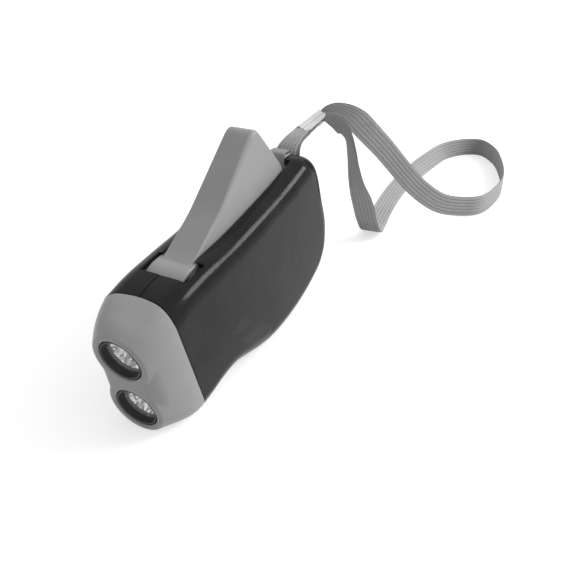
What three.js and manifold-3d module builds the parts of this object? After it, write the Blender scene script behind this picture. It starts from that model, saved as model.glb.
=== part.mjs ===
// Two-lamp dynamo torch with a squeeze lever, standing on its lower edge.
// Millimetres, +Z up, lamps towards -Y, the side with the flywheel towards +X.
import * as THREE from 'three';
import { mergeVertices } from 'three/addons/utils/BufferGeometryUtils.js';
import Module from 'manifold-3d';

const wasm = await Module();
wasm.setup();

const deg = Math.PI / 180;
const half = (size) => size / 2;

// Overall sizes of the torch, which the side outline follows
const overallLength = 104.4;
const shellHeight = 55;
const shellThickness = 24;
const edgeRadius = 6;
const wall = 1.6;

// Clearances of still pieces, of turning pieces and of the parting line; run-out of cuts
const fit = 0.3;
const runningGap = 0.5;
const partingGap = 0.3;
const overrun = 2;

// Head: two barrels, one above the other, tipped down with the whole nose
const noseDown = 12 * deg;
const barrelRadius = 8.3;
const lampSpacing = 18.2;
const neckHalfWidth = 6.6;
const lampBoreRadius = 6.65;
const faceWall = 2.2;
const flareLength = 13;
const seamTilt = 18 * deg;
const seamFoot = 22.1;
const seamCrown = 2.6;

// Lamp pieces, from the front face inwards
const ringWall = 0.5;
const ringLength = 4.3;
const lensRecess = 2.4;
const lensThickness = 0.9;
const lensDome = 0.5;
const reflectorDepth = 6;
const reflectorWall = 0.5;
const reflectorLip = 0.2;
const ledRadius = 2.5;
const ledSocket = 0.4;
const boardThickness = 1.2;

// Lever on its pin, with a wider cover that slopes down over the hinge
const hingeShare = [0.246, 0.6];
const leverReach = 59;
const leverSideRoom = 7;
const leverHalfWidth = half(shellThickness) - leverSideRoom;
const leverEdge = 0.8;
const leverWall = 1.4;
const leverTravel = 22 * deg;
const thumbChamferStart = 0.3;
const thumbChamferEnd = 1.5;
const hubRadius = 4.2;
const coverRadius = 10.5;
const coverWall = 1.5;
const coverLap = 1.1;
const coverHalfWidth = leverHalfWidth + coverLap;
const pinRadius = 1.5;

// Torsion spring round the hinge boss
const springWire = 0.8;
const springPitch = 1.2;
const springTurns = 2.25;
const springLeg = 8;

// Gear train: modules and tooth counts of each mesh, widths and places of the wheels
const leverModule = 1;
const sectorTeeth = 80;
const sectorHalfWidth = 1.4;
const sectorRim = 3.6;
const firstPinionTeeth = 12;
const firstPinionHalfWidth = 2;
const middleModule = 0.7;
const firstWheelTeeth = 44;
const secondPinionTeeth = 12;
const fineModule = 0.6;
const secondWheelTeeth = 40;
const rotorPinionTeeth = 10;
const wheelWidth = 1.4;
const firstMeshAngle = -17 * deg;
const secondMeshAngle = 145 * deg;
const rotorMeshAngle = -153 * deg;
const pressureAngle = 20 * deg;
const backlash = 0.12;
const axleRadius = 0.9;
const bossWall = 1.2;

// Dynamo: magnet rotor, horseshoe core, coil and flywheel
const magnetRadius = 6.6;
const magnetHalfWidth = 2.4;
const airGap = 0.5;
const coreHalfWidth = 2;
const coreLeg = 2.4;
const coilDrop = 13.8;
const coilRadius = 4.2;
const bobbinWall = 0.6;
const bobbinFlange = 0.5;
const flywheelRadius = 10;
const flywheelWidth = 3;
const flywheelRim = 2;
const flywheelHub = 3.2;

// Power board in the tail, with the cell on one face and the rectifier on the other
const boardCornerShare = [0.718, 0.171];
const boardLength = 17;
const boardHeight = 16;
const clipWallRoom = 1.4;
const cellRadius = 7.6;
const cellThickness = 3.2;
const clipWidth = 4;
const clipThickness = 0.4;
const rectifierSize = 8;
const rectifierHeight = 2.6;
const rectifierStand = 0.6;
const rectifierLeg = 0.4;
const leadRadius = 0.5;

// Catch behind the lever slot, with a tongue that slides over the closed lever
const catchHalfWidth = 3;
const catchFlange = 1.4;
const catchFlangeDepth = 1.2;
const catchLength = 3.8;
const catchRise = 1.2;
const catchTravel = 4.3;
const catchTongueTop = 48;
const catchTongue = 2.4;
const catchTongueReach = 2.2;
const gripGroove = 0.5;

// Strap, its pin in the tail and the crimp that joins the two
const strapPinShare = [0.897, 0.884];
const strapPinRadius = 1;
const strapPinEndWall = 3.4;
const anchorWidth = 8;
const strapWidth = 9;
const strapThickness = 0.9;
const crimpRadius = 1.35;
const crimpLength = 7.2;
const crimpSet = 1.3;
const crimpAimShares = [0.36, 0.75, 0.38];
const crimpShift = 1;
const anchorRun = 10.15;
const anchorRise = 10.18;
const anchorShares = [[0.025, 0.528], [0.291, 0.823]];

// Screws that hold the halves together
const screwRadius = 1.1;
const screwHeadRadius = 2.1;
const screwHeadHeight = 1.2;
const screwShares = {
  front: [0.264, 0.165],
  tail: [0.887, 0.682],
  heel: [0.916, 0.255],
};

const paint = (color, roughness, metalness = 0, opacity = 1) => new THREE.MeshStandardMaterial({
  color, roughness, metalness, opacity, transparent: opacity < 1,
});
const smoke = paint(0x2b2d30, 0.18, 0, 0.9);
const headGrey = paint(0x93979a, 0.45);
const leverGrey = paint(0x8f9396, 0.5);
const catchGrey = paint(0xa9acad, 0.5);
const black = paint(0x1a1a1c, 0.5);
const clear = paint(0xe8eef2, 0.05, 0, 0.4);
const chrome = paint(0xd9dcde, 0.12, 1);
const steel = paint(0xa7abae, 0.3, 1);
const nylon = paint(0xe6e4da, 0.55);
const copper = paint(0xb4673a, 0.35, 1);
const ferrite = paint(0x2e2d2c, 0.7);
const boardGreen = paint(0x2f6b3c, 0.6);
const webbing = paint(0xa9aba9, 0.9);
const leadRed = paint(0xa02a22, 0.6);

// Turns a shape drawn in the side view (y, z) into a solid along X
const sideways = new THREE.Matrix4().makeBasis(
  new THREE.Vector3(0, 1, 0), new THREE.Vector3(0, 0, 1), new THREE.Vector3(1, 0, 0),
);

// Joins the vertices of a closed geometry and turns its faces outwards
function closed(geometry) {
  const bare = geometry.clone();
  bare.deleteAttribute('normal');
  bare.deleteAttribute('uv');
  const merged = mergeVertices(bare, 1e-5);
  const p = merged.attributes.position.array;
  const index = merged.index.array;
  let volume = 0;
  for (let i = 0; i < index.length; i += 3) {
    const [a, b, c] = [index[i] * 3, index[i + 1] * 3, index[i + 2] * 3];
    volume += p[a] * (p[b + 1] * p[c + 2] - p[b + 2] * p[c + 1]);
    volume += p[a + 1] * (p[b + 2] * p[c] - p[b] * p[c + 2]);
    volume += p[a + 2] * (p[b] * p[c + 1] - p[b + 1] * p[c]);
  }
  if (volume < 0) {
    for (let i = 0; i < index.length; i += 3) {
      [index[i + 1], index[i + 2]] = [index[i + 2], index[i + 1]];
    }
  }
  return merged;
}

function solid(geometry) {
  const merged = closed(geometry);
  return new wasm.Manifold(new wasm.Mesh({
    numProp: 3,
    vertProperties: Float32Array.from(merged.attributes.position.array),
    triVerts: Uint32Array.from(merged.index.array),
  }));
}

function surface(manifold) {
  const mesh = manifold.getMesh();
  const geometry = new THREE.BufferGeometry();
  geometry.setAttribute('position', new THREE.BufferAttribute(mesh.vertProperties, 3));
  geometry.setIndex(new THREE.BufferAttribute(mesh.triVerts, 1));
  return geometry;
}

// The torch is drawn from its front end, the group puts its middle on the origin
const group = new THREE.Group();
group.name = 'torch';
const torch = new THREE.Group();
torch.position.y = -half(overallLength);
group.add(torch);
const lamps = new THREE.Group();
torch.add(lamps);

function piece(parent, name, shape, material) {
  const geometry = shape.isBufferGeometry ? closed(shape) : surface(shape);
  geometry.computeVertexNormals();
  const mesh = new THREE.Mesh(geometry, material);
  mesh.name = name;
  parent.add(mesh);
}

const joined = (...parts) => parts.reduce((all, part) => all.add(part));

// Solid of a side-view shape between two values of x, with bevelled edges if asked
function slab(shape, from, to, bevel = 0) {
  const geometry = new THREE.ExtrudeGeometry(shape, {
    depth: to - from - 2 * bevel,
    bevelEnabled: bevel > 0,
    bevelThickness: bevel,
    bevelSize: bevel,
    bevelOffset: -bevel,
    bevelSegments: 2,
    curveSegments: 10,
  });
  geometry.translate(0, 0, from + bevel);
  return solid(geometry.applyMatrix4(sideways));
}

function block(x0, x1, y0, y1, z0, z1) {
  const geometry = new THREE.BoxGeometry(x1 - x0, y1 - y0, z1 - z0);
  geometry.translate(half(x0 + x1), half(y0 + y1), half(z0 + z1));
  return solid(geometry);
}

// Round bar along X
function bar(centre, radius, from, to, sides = 20) {
  const geometry = new THREE.CylinderGeometry(radius, radius, to - from, sides);
  geometry.rotateZ(-Math.PI / 2);
  geometry.rotateX(Math.PI / sides);
  geometry.translate(half(from + to), centre.x, centre.y);
  return solid(geometry);
}

const through = shellThickness;
const bored = (body, centre, radius, sides) => body.subtract(
  bar(centre, radius, -through, through, sides),
);

const around = (centre, radius, angle) => new THREE.Vector2(
  centre.x + radius * Math.cos(angle), centre.y + radius * Math.sin(angle),
);

// Side-view shape of a ring sector
function arcBand(centre, inner, outer, start, end) {
  const shape = new THREE.Shape();
  shape.absarc(centre.x, centre.y, outer, start, end, false);
  shape.absarc(centre.x, centre.y, inner, end, start, true);
  return shape;
}

// Skin through rings of equal counts, closed by a fan at each end
function loft(rings) {
  const count = rings[0].length;
  const points = rings.flat();
  const middle = (ring) => ring.reduce((sum, p) => sum.add(p), new THREE.Vector3())
    .divideScalar(ring.length);
  points.push(middle(rings[0]), middle(rings[rings.length - 1]));
  const index = [];
  for (let r = 0; r + 1 < rings.length; r += 1) {
    for (let i = 0; i < count; i += 1) {
      const a = r * count + i;
      const b = r * count + (i + 1) % count;
      index.push(a, b, a + count, b, b + count, a + count);
    }
  }
  const last = (rings.length - 1) * count;
  for (let i = 0; i < count; i += 1) {
    const next = (i + 1) % count;
    index.push(points.length - 2, next, i);
    index.push(points.length - 1, last + i, last + next);
  }
  const geometry = new THREE.BufferGeometry();
  const flat = points.flatMap((p) => [p.x, p.y, p.z]);
  geometry.setAttribute('position', new THREE.Float32BufferAttribute(flat, 3));
  geometry.setIndex(index);
  return geometry;
}

// Round wire or lead along a smooth curve through the points
function wire(points, radius, steps, sides = 6) {
  const shape = new THREE.Shape(Array.from({ length: sides }, (_, i) => (
    around(new THREE.Vector2(), radius, (2 * Math.PI * i) / sides))));
  return solid(new THREE.ExtrudeGeometry(shape, {
    steps, bevelEnabled: false, extrudePath: new THREE.CatmullRomCurve3(points, false, 'centripetal'),
  }));
}

// Side outline of the torch: shares of the length from the front and of the shell height
const topShares = [
  [0.024, 0.654], [0.068, 0.69], [0.115, 0.723], [0.18, 0.757], [0.294, 0.789], [0.41, 0.816],
  [0.521, 0.853], [0.697, 0.924], [0.783, 0.969], [0.83, 0.995], [0.868, 0.99], [0.9, 0.955],
];
const tailShares = [
  [0.926, 0.883], [0.966, 0.68], [0.992, 0.545], [1, 0.418], [0.99, 0.3], [0.951, 0.191],
];
const bottomShares = [
  [0.879, 0.109], [0.797, 0.05], [0.687, 0.004], [0.592, -0.008], [0.515, 0.008], [0.453, 0.034],
  [0.381, 0.058], [0.313, 0.044], [0.256, 0.016], [0.208, -0.001], [0.16, -0.006],
];
const placed = ([along, up]) => new THREE.Vector2(along * overallLength, up * shellHeight);

const lampCentre = new THREE.Vector2(
  barrelRadius * Math.sin(noseDown),
  (lampSpacing + barrelRadius) * Math.cos(noseDown),
);
lamps.position.set(0, lampCentre.x, lampCentre.y);
lamps.rotation.x = noseDown;

// Between the side view and the lamps' own frame, y inwards and z up the front face
const fromLamps = (y, z) => new THREE.Vector2(
  lampCentre.x + y * Math.cos(noseDown) - z * Math.sin(noseDown),
  lampCentre.y + y * Math.sin(noseDown) + z * Math.cos(noseDown),
);
const toLamps = (point) => {
  const dy = point.x - lampCentre.x;
  const dz = point.y - lampCentre.y;
  return new THREE.Vector2(
    dy * Math.cos(noseDown) + dz * Math.sin(noseDown),
    dz * Math.cos(noseDown) - dy * Math.sin(noseDown),
  );
};

const outlineKnots = [
  fromLamps(0, barrelRadius),
  ...[...topShares, ...tailShares, ...bottomShares].map(placed),
  fromLamps(0, -lampSpacing - barrelRadius),
];
const outline = new THREE.CatmullRomCurve3(
  outlineKnots.map((p) => new THREE.Vector3(p.x, p.y, 0)), false, 'centripetal',
).getPoints(2 * (outlineKnots.length - 1)).map((p) => new THREE.Vector2(p.x, p.y));

// Highest and lowest point of an outline at one place along it
function heightsAt(points, along) {
  const heights = [];
  for (let i = 1; i < points.length; i += 1) {
    const [a, b] = [points[i - 1], points[i]];
    if ((a.x - along) * (b.x - along) <= 0 && a.x !== b.x) {
      heights.push(a.y + ((b.y - a.y) * (along - a.x)) / (b.x - a.x));
    }
  }
  return [Math.max(...heights), Math.min(...heights)];
}
const lampOutline = outline.map(toLamps);

// One ring of the head: two circles at the front, a rounded rectangle at the seam
const ringPoints = 48;
function headRing(y, inset, flare) {
  const [top, bottom] = y > 0 ? heightsAt(lampOutline, y) : [barrelRadius, -lampSpacing - barrelRadius];
  const halfHeight = half(top - bottom) - inset;
  const halfWidth = half(shellThickness) - inset;
  const radius = barrelRadius - inset;
  const offset = halfHeight - radius;
  const corner = edgeRadius - inset;
  const cornerX = halfWidth - corner;
  const cornerZ = halfHeight - corner;
  return Array.from({ length: ringPoints }, (_, i) => {
    const angle = (2 * Math.PI * (i + 0.5)) / ringPoints;
    const c = Math.abs(Math.cos(angle));
    const s = Math.abs(Math.sin(angle));
    const chord = radius ** 2 - (offset * c) ** 2;
    const circle = chord > 0 ? offset * s + Math.sqrt(chord) : 0;
    const figure = Math.max(circle, Math.min((neckHalfWidth - inset) / c, offset));
    let box = Math.min(halfWidth / c, halfHeight / s);
    if (box * c > cornerX && box * s > cornerZ) {
      const along = cornerX * c + cornerZ * s;
      box = along + Math.sqrt(along ** 2 - cornerX ** 2 - cornerZ ** 2 + corner ** 2);
    }
    const reach = figure + (box - figure) * flare;
    return new THREE.Vector3(reach * Math.cos(angle), y, half(top + bottom) + reach * Math.sin(angle));
  });
}

// Turns a solid from the lamps' frame into the torch
const fromLampFrame = new THREE.Matrix4().makeRotationX(noseDown)
  .setPosition(0, lampCentre.x, lampCentre.y).elements;

const headRings = { outside: 8, inside: 4 };
const headLength = flareLength * 1.5;
function headForm(inset, start) {
  const rings = [];
  const count = inset > 0 ? headRings.inside : headRings.outside;
  for (let k = 0; k <= count; k += 1) {
    const y = start + (headLength - start) * (k / count) ** 1.3;
    const share = Math.min(y / flareLength, 1);
    rings.push(headRing(y, inset, Math.sin((share * Math.PI) / 2) ** 0.9));
  }
  return solid(loft(rings)).transform(fromLampFrame);
}

// Everything in front of the head seam, moved back by a gap
function seamCutter(gap) {
  const reach = half(shellThickness) + overrun;
  const shape = new THREE.Shape();
  shape.moveTo(-reach, -half(overallLength));
  const steps = 10;
  for (let i = 0; i <= steps; i += 1) {
    const x = -reach + (2 * reach * i) / steps;
    shape.lineTo(x, gap + seamCrown * (1 - (x / half(shellThickness)) ** 2));
  }
  shape.lineTo(reach, -half(overallLength));
  const geometry = new THREE.ExtrudeGeometry(shape, { depth: 2 * shellHeight, bevelEnabled: false });
  geometry.translate(0, 0, -half(shellHeight));
  geometry.rotateX(seamTilt);
  geometry.translate(0, seamFoot, 0);
  return solid(geometry);
}

// Side outline moved inwards, without the part that belongs to the head
const bodyOutline = outline.filter((point) => point.x > 0.09 * overallLength);
function insetOutline(distance) {
  const count = bodyOutline.length;
  return bodyOutline.map((point, i) => {
    const before = point.clone().sub(bodyOutline[(i + count - 1) % count]).normalize();
    const after = bodyOutline[(i + 1) % count].clone().sub(point).normalize();
    const scale = distance / (1 + before.dot(after));
    return new THREE.Vector2(
      point.x + scale * (before.y + after.y), point.y - scale * (before.x + after.x),
    );
  });
}

// Body form with rounded long edges, moved inwards where it is hollow
const edgeSteps = { outside: 4, inside: 2 };
function bodyForm(inset) {
  const steps = inset > 0 ? edgeSteps.inside : edgeSteps.outside;
  const radius = edgeRadius - inset;
  const flat = half(shellThickness) - edgeRadius;
  const rings = [];
  for (let i = -steps; i <= steps; i += 1) {
    const angle = ((steps - Math.abs(i)) / steps) * (Math.PI / 2);
    const ring = insetOutline(inset + radius * (1 - Math.sin(angle)));
    const xs = i === 0 ? [-flat, flat] : [Math.sign(i) * (flat + radius * Math.cos(angle))];
    xs.forEach((x) => rings.push(ring.map((p) => new THREE.Vector3(x, p.x, p.y))));
  }
  return solid(loft(rings));
}

// Gear axes, from the hinge along the chain of meshes
const pitchRadius = (gearModule, teeth) => half(gearModule * teeth);
const hinge = placed(hingeShare);
const firstAxis = around(
  hinge, pitchRadius(leverModule, sectorTeeth + firstPinionTeeth), firstMeshAngle,
);
const secondAxis = around(
  firstAxis, pitchRadius(middleModule, firstWheelTeeth + secondPinionTeeth), secondMeshAngle,
);
const rotorAxis = around(
  secondAxis, pitchRadius(fineModule, secondWheelTeeth + rotorPinionTeeth), rotorMeshAngle,
);

// Involute gear outline with one tooth centred on the given angle
const addendumShare = 0.85;
const dedendumShare = 1.15;
function gearShape(centre, gearModule, teeth, phase) {
  const radius = pitchRadius(gearModule, teeth);
  const base = radius * Math.cos(pressureAngle);
  const tip = radius + addendumShare * gearModule;
  const root = radius - dedendumShare * gearModule;
  const involute = (r) => {
    const tangent = Math.sqrt(Math.max((r / base) ** 2 - 1, 0));
    return tangent - Math.atan(tangent);
  };
  const halfAtPitch = half(Math.PI * gearModule / 2 - backlash) / radius;
  const halfTooth = (r) => halfAtPitch + involute(radius) - involute(Math.max(r, base));
  const flank = gearModule < leverModule ? [root, tip] : [root, half(radius + base), tip];
  const points = [];
  for (let i = 0; i < teeth; i += 1) {
    const angle = phase + (2 * Math.PI * i) / teeth;
    flank.forEach((r) => points.push(around(centre, r, angle - halfTooth(r))));
    [...flank].reverse().forEach((r) => points.push(around(centre, r, angle + halfTooth(r))));
  }
  return new THREE.Shape(points);
}
const lineAngle = (from, to) => Math.atan2(to.y - from.y, to.x - from.x);
const meshed = (from, to, teeth) => lineAngle(from, to) + Math.PI + Math.PI / teeth;

// Layers of the wheels beside the lever, on the far side; the flywheel is on the near side
const firstWheelInner = leverHalfWidth + half(wheelWidth);
const firstWheelOuter = firstWheelInner + wheelWidth;
const secondWheelInner = firstWheelOuter + runningGap;
const secondWheelOuter = secondWheelInner + wheelWidth;
const flywheelInner = firstWheelInner;
const innerHalf = half(shellThickness) - wall;
const pinEnd = innerHalf - half(fit);
const strapPinHalf = half(shellThickness) - strapPinEndWall;
const strapGap = half(anchorWidth) + fit;

// Bosses in each half, as axis, pin radius, end nearest the middle and depth of the bore
const farBosses = [
  [hinge, pinRadius, coverHalfWidth + runningGap, innerHalf],
  [firstAxis, axleRadius, firstWheelOuter + runningGap, innerHalf],
  [secondAxis, axleRadius, secondWheelOuter + half(runningGap), innerHalf],
  [rotorAxis, axleRadius, secondWheelOuter + half(runningGap), innerHalf],
  [placed(strapPinShare), strapPinRadius, strapGap, strapPinHalf + half(fit)],
];
const nearBosses = [
  [hinge, pinRadius, coverHalfWidth + runningGap, innerHalf],
  [firstAxis, axleRadius, firstPinionHalfWidth + runningGap, innerHalf],
  [rotorAxis, axleRadius, flywheelInner + flywheelWidth + half(runningGap), innerHalf],
  [placed(strapPinShare), strapPinRadius, strapGap, strapPinHalf + half(fit)],
];
const bossSides = 14;
const bossRadius = (radius) => radius + half(fit) + bossWall;

const strapPin = placed(strapPinShare);
const slotEnd = hinge.x + leverReach + runningGap;
const catchFront = slotEnd + 2 * runningGap;
const catchBack = catchFront + catchLength;
const strapRoom = strapPinRadius + fit + strapThickness + fit;

// Top of the lever's cover from back to front, in shares of its radius from the hinge
const coverShares = [[0.42, 0.905], [0.02, 0.865], [-0.2, 0.79], [-0.4, 0.655]];
const coverPoint = ([along, up], scale = 1) => new THREE.Vector2(
  hinge.x + scale * along * coverRadius, hinge.y + scale * up * coverRadius,
);
const coverFront = coverPoint(coverShares[3]).x;

// Room in the shells for the lever, its cover, the catch and the strap
function shellOpenings() {
  const up = 2 * shellHeight;
  const slotHalf = leverHalfWidth + runningGap;
  const coverHalf = coverHalfWidth + runningGap;
  const coverRoom = block(-coverHalf, coverHalf, coverFront - runningGap, hinge.x + coverRadius,
    0, up).intersect(bar(hinge, coverRadius + runningGap, -coverHalf, coverHalf, 36));
  const catchHalf = catchHalfWidth + fit;
  return joined(
    block(-slotHalf, slotHalf, hinge.x, slotEnd, hinge.y, up),
    coverRoom,
    block(-coverHalf, coverHalf, coverFront - runningGap, hinge.x, hinge.y, up),
    block(-catchHalf, catchHalf, slotEnd - overrun, catchBack + fit, hinge.y, up),
    block(-strapGap, strapGap, strapPin.x - strapRoom, strapPin.x + strapRoom,
      strapPin.y - strapRoom, up),
  );
}

// One half of the body: skin, bosses, bores, slots, cut at the parting line and at the seam
function shellHalf(side) {
  const bosses = side < 0 ? farBosses : nearBosses;
  const span = (near, far) => (side < 0 ? [-far, -near] : [near, far]);
  const core = bodyForm(half(wall));
  const screws = Object.values(screwShares).map(placed);
  const reach = innerHalf + half(wall);
  let body = bodyForm(0).subtract(bodyForm(wall)).subtract(shellOpenings());
  bosses.forEach(([centre, radius, near]) => {
    body = body.add(bar(centre, bossRadius(radius), ...span(near, reach), bossSides)
      .intersect(core));
  });
  screws.forEach((centre) => {
    body = body.add(bar(centre, screwRadius + bossWall, ...span(half(partingGap), reach), bossSides)
      .intersect(core));
  });
  bosses.forEach(([centre, radius, near, far]) => {
    body = body.subtract(bar(centre, radius + half(fit), ...span(near - overrun, far), bossSides));
  });
  screws.forEach((centre) => {
    body = body.subtract(bar(centre, screwRadius + half(fit), -through, innerHalf, bossSides));
    body = body.subtract(bar(centre, screwHeadRadius + fit, -through,
      screwHeadHeight + fit - half(shellThickness), bossSides));
  });
  const keep = block(...span(half(partingGap), through), -overrun, overallLength + overrun,
    0, 2 * shellHeight);
  return body.intersect(keep).subtract(seamCutter(fit));
}
piece(torch, 'left_shell', shellHalf(-1), smoke);
piece(torch, 'right_shell', shellHalf(1), smoke);

// Screws enter from the far half and end in the near one
Object.entries(screwShares).forEach(([place, share]) => {
  const centre = placed(share);
  const face = fit - half(shellThickness);
  piece(torch, `${place}_screw`, joined(
    bar(centre, screwHeadRadius, face, face + screwHeadHeight, 14),
    bar(centre, screwRadius, face + half(screwHeadHeight), half(innerHalf), 10),
  ), steel);
});

// Head cover, hollow behind a thick face, bored for the lamps and flat where it stands
const lampHeights = { upper: 0, lower: -lampSpacing };
function headCover() {
  const skin = headForm(0, 0).subtract(headForm(wall, faceWall));
  const bores = Object.values(lampHeights).map((z) => {
    const bore = new THREE.CylinderGeometry(lampBoreRadius, lampBoreRadius, 4 * faceWall, 36);
    return solid(bore.translate(0, 0, z)).transform(fromLampFrame);
  });
  const aboveFloor = block(-through, through, -overallLength, overallLength, 0, 2 * shellHeight);
  return skin.subtract(joined(...bores)).intersect(seamCutter(0)).intersect(aboveFloor);
}
piece(torch, 'head_cover', headCover(), headGrey);

const lathed = (points, sides) => new THREE.LatheGeometry(
  points.map(([r, y]) => new THREE.Vector2(r, y)), sides,
);

// Lamp pieces, revolved about the lamp axis
const ringOuter = lampBoreRadius - fit;
const ringInner = ringOuter - ringWall;
const lensRadius = ringInner - fit;
const reflectorFront = lensRecess + lensThickness + fit;
const boardFront = reflectorFront + reflectorDepth + fit + ledSocket;
const bowlShares = [[1, 0], [0.86, 0.2], [0.66, 0.45], [0.38, 0.72], [0, 1]];
Object.entries(lampHeights).forEach(([place, z]) => {
  const lamp = new THREE.Group();
  lamp.position.z = z;
  lamps.add(lamp);
  piece(lamp, `${place}_lens_ring`, lathed([
    [ringInner, fit], [ringOuter, fit], [ringOuter, fit + ringLength],
    [ringInner, fit + ringLength], [ringInner, fit],
  ], 32), black);
  piece(lamp, `${place}_lens`, lathed([
    [0, lensRecess - lensDome], [0.55 * lensRadius, lensRecess - 0.7 * lensDome],
    [lensRadius, lensRecess], [lensRadius, lensRecess + lensThickness],
    [0, lensRecess + lensThickness],
  ], 24), clear);
  const throat = ledRadius + fit;
  const mouth = lensRadius - reflectorLip - reflectorWall;
  const inside = bowlShares.map(([out, deep]) => [
    throat + (mouth - throat) * out, reflectorFront + deep * reflectorDepth,
  ]);
  const outside = inside.slice(1).reverse().map(([r, y]) => [r + reflectorWall, y]);
  piece(lamp, `${place}_reflector`, lathed([
    [lensRadius, reflectorFront], ...inside, ...outside,
    [mouth + reflectorWall, reflectorFront + reflectorWall],
    [lensRadius, reflectorFront + reflectorWall], [lensRadius, reflectorFront],
  ], 18), chrome);
  const ledTip = reflectorFront + fit;
  const ledBack = boardFront - fit;
  piece(lamp, `${place}_led`, lathed([
    [0, ledTip], [0.6 * ledRadius, ledTip + 0.2 * ledRadius],
    [0.92 * ledRadius, ledTip + 0.6 * ledRadius], [ledRadius, ledTip + ledRadius],
    [ledRadius, ledBack], [0, ledBack],
  ], 16), clear);
});

// Board behind the reflectors, cut to the inside of the head
function ledBoard() {
  const slice = new THREE.BoxGeometry(through, boardThickness, 2 * shellHeight);
  slice.translate(0, boardFront + half(boardThickness), -half(lampSpacing));
  return headForm(wall + fit, faceWall).intersect(solid(slice).transform(fromLampFrame));
}
piece(torch, 'led_board', ledBoard(), boardGreen);

// Lever outline and its hollow underside, in shares of the reach from the hinge, lever open
const leverShares = [
  [-0.04, 0.13], [0.0763, 0.1695], [0.3, 0.312], [0.622, 0.606], [0.645, 0.619], [0.667, 0.622],
  [0.69, 0.614], [0.713, 0.59], [0.922, 0.372], [0.94, 0.342], [0.942, 0.312], [0.926, 0.268],
  [0.6, 0.195], [0.24, 0.115], [0.07, -0.03],
];
const hollowShares = [
  [0.12, 0.1], [0.12, 0.16], [0.3, 0.268], [0.62, 0.56], [0.67, 0.575], [0.9, 0.34], [0.9, 0.1],
];
const leverPoint = ([along, up]) => new THREE.Vector2(
  hinge.x + along * leverReach, hinge.y + up * leverReach,
);
const leverShape = (shares) => new THREE.Shape(shares.map(leverPoint));

// Cuts the long top edges of the lever, wider towards the thumb end
function thumbChamfer(side) {
  const start = leverPoint(leverShares[2]);
  const end = leverPoint(leverShares[3]);
  const along = end.clone().sub(start).normalize();
  const out = new THREE.Vector2(-along.y, along.x);
  const ring = (at, cut) => {
    const corner = (x, rise) => new THREE.Vector3(
      side * x, at.x + out.x * rise, at.y + out.y * rise,
    );
    return [
      corner(leverHalfWidth - cut - overrun, overrun),
      corner(leverHalfWidth + overrun, -cut - overrun),
      corner(leverHalfWidth + overrun, overrun),
    ];
  };
  const reach = leverReach * 0.3;
  const before = start.clone().addScaledVector(along, -reach);
  const after = end.clone().addScaledVector(along, reach);
  return solid(loft([ring(before, thumbChamferStart), ring(after, thumbChamferEnd)]));
}

// Cover over the hinge: a bent plate, and the web that carries it from the hub
const webShare = 0.93;
function cover() {
  const above = coverShares.map((share) => coverPoint(share));
  const below = above.map((p) => new THREE.Vector2(p.x, p.y - coverWall)).reverse();
  return slab(new THREE.Shape([...above, ...below]), -coverHalfWidth, coverHalfWidth);
}
function web() {
  const edge = coverShares.map((share) => coverPoint(share, webShare));
  return slab(new THREE.Shape([hinge, ...edge]), -leverHalfWidth, leverHalfWidth);
}

// Toothed sector and the arm that carries it, inside the hollow of the lever
function sector() {
  const radius = pitchRadius(leverModule, sectorTeeth);
  const root = radius - dedendumShare * leverModule;
  const start = firstMeshAngle - 8 * deg;
  const end = firstMeshAngle + leverTravel + 5 * deg;
  const wedge = arcBand(hinge, root - half(sectorRim), radius + leverModule, start, end);
  const reach = sectorHalfWidth + overrun;
  const teeth = slab(gearShape(hinge, leverModule, sectorTeeth, firstMeshAngle),
    -sectorHalfWidth, sectorHalfWidth).intersect(slab(wedge, -reach, reach));
  const arm = arcBand(hinge, root - sectorRim, root, start, 43.5 * deg);
  return teeth.add(slab(arm, -sectorHalfWidth, sectorHalfWidth));
}

function squeezeLever() {
  const hollow = leverHalfWidth - leverWall;
  const blade = slab(leverShape(leverShares), -leverHalfWidth, leverHalfWidth, leverEdge)
    .subtract(slab(leverShape(hollowShares), -hollow, hollow))
    .subtract(thumbChamfer(-1)).subtract(thumbChamfer(1));
  const hub = bar(hinge, hubRadius, -coverHalfWidth, coverHalfWidth, 24);
  return bored(joined(blade, cover(), web(), hub, sector()), hinge, pinRadius + half(fit));
}
piece(torch, 'squeeze_lever', squeezeLever(), leverGrey);
piece(torch, 'lever_pin', bar(hinge, pinRadius, -pinEnd, pinEnd, 16), steel);

// Spring round the near hinge boss: one leg against the shell, one beside the lever
function returnSpring() {
  const radius = bossRadius(pinRadius) + fit + half(springWire);
  const near = coverHalfWidth + runningGap + half(springWire);
  const steps = Math.round(springTurns * 8);
  const at = (x, point) => new THREE.Vector3(x, point.x, point.y);
  const coil = Array.from({ length: steps + 1 }, (_, i) => at(
    near + (springPitch * springTurns * i) / steps,
    around(hinge, radius, Math.PI / 2 + (2 * Math.PI * i) / 8),
  ));
  const far = near + springPitch * springTurns;
  const beside = leverHalfWidth + fit + half(springWire);
  return wire([
    at(beside, new THREE.Vector2(hinge.x + springLeg, hinge.y + radius)),
    at(near, new THREE.Vector2(hinge.x + half(springLeg), hinge.y + radius)),
    ...coil,
    at(far, new THREE.Vector2(hinge.x - radius, hinge.y - springLeg)),
  ], half(springWire), steps + 8, 5);
}
piece(torch, 'return_spring', returnSpring(), steel);

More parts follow.
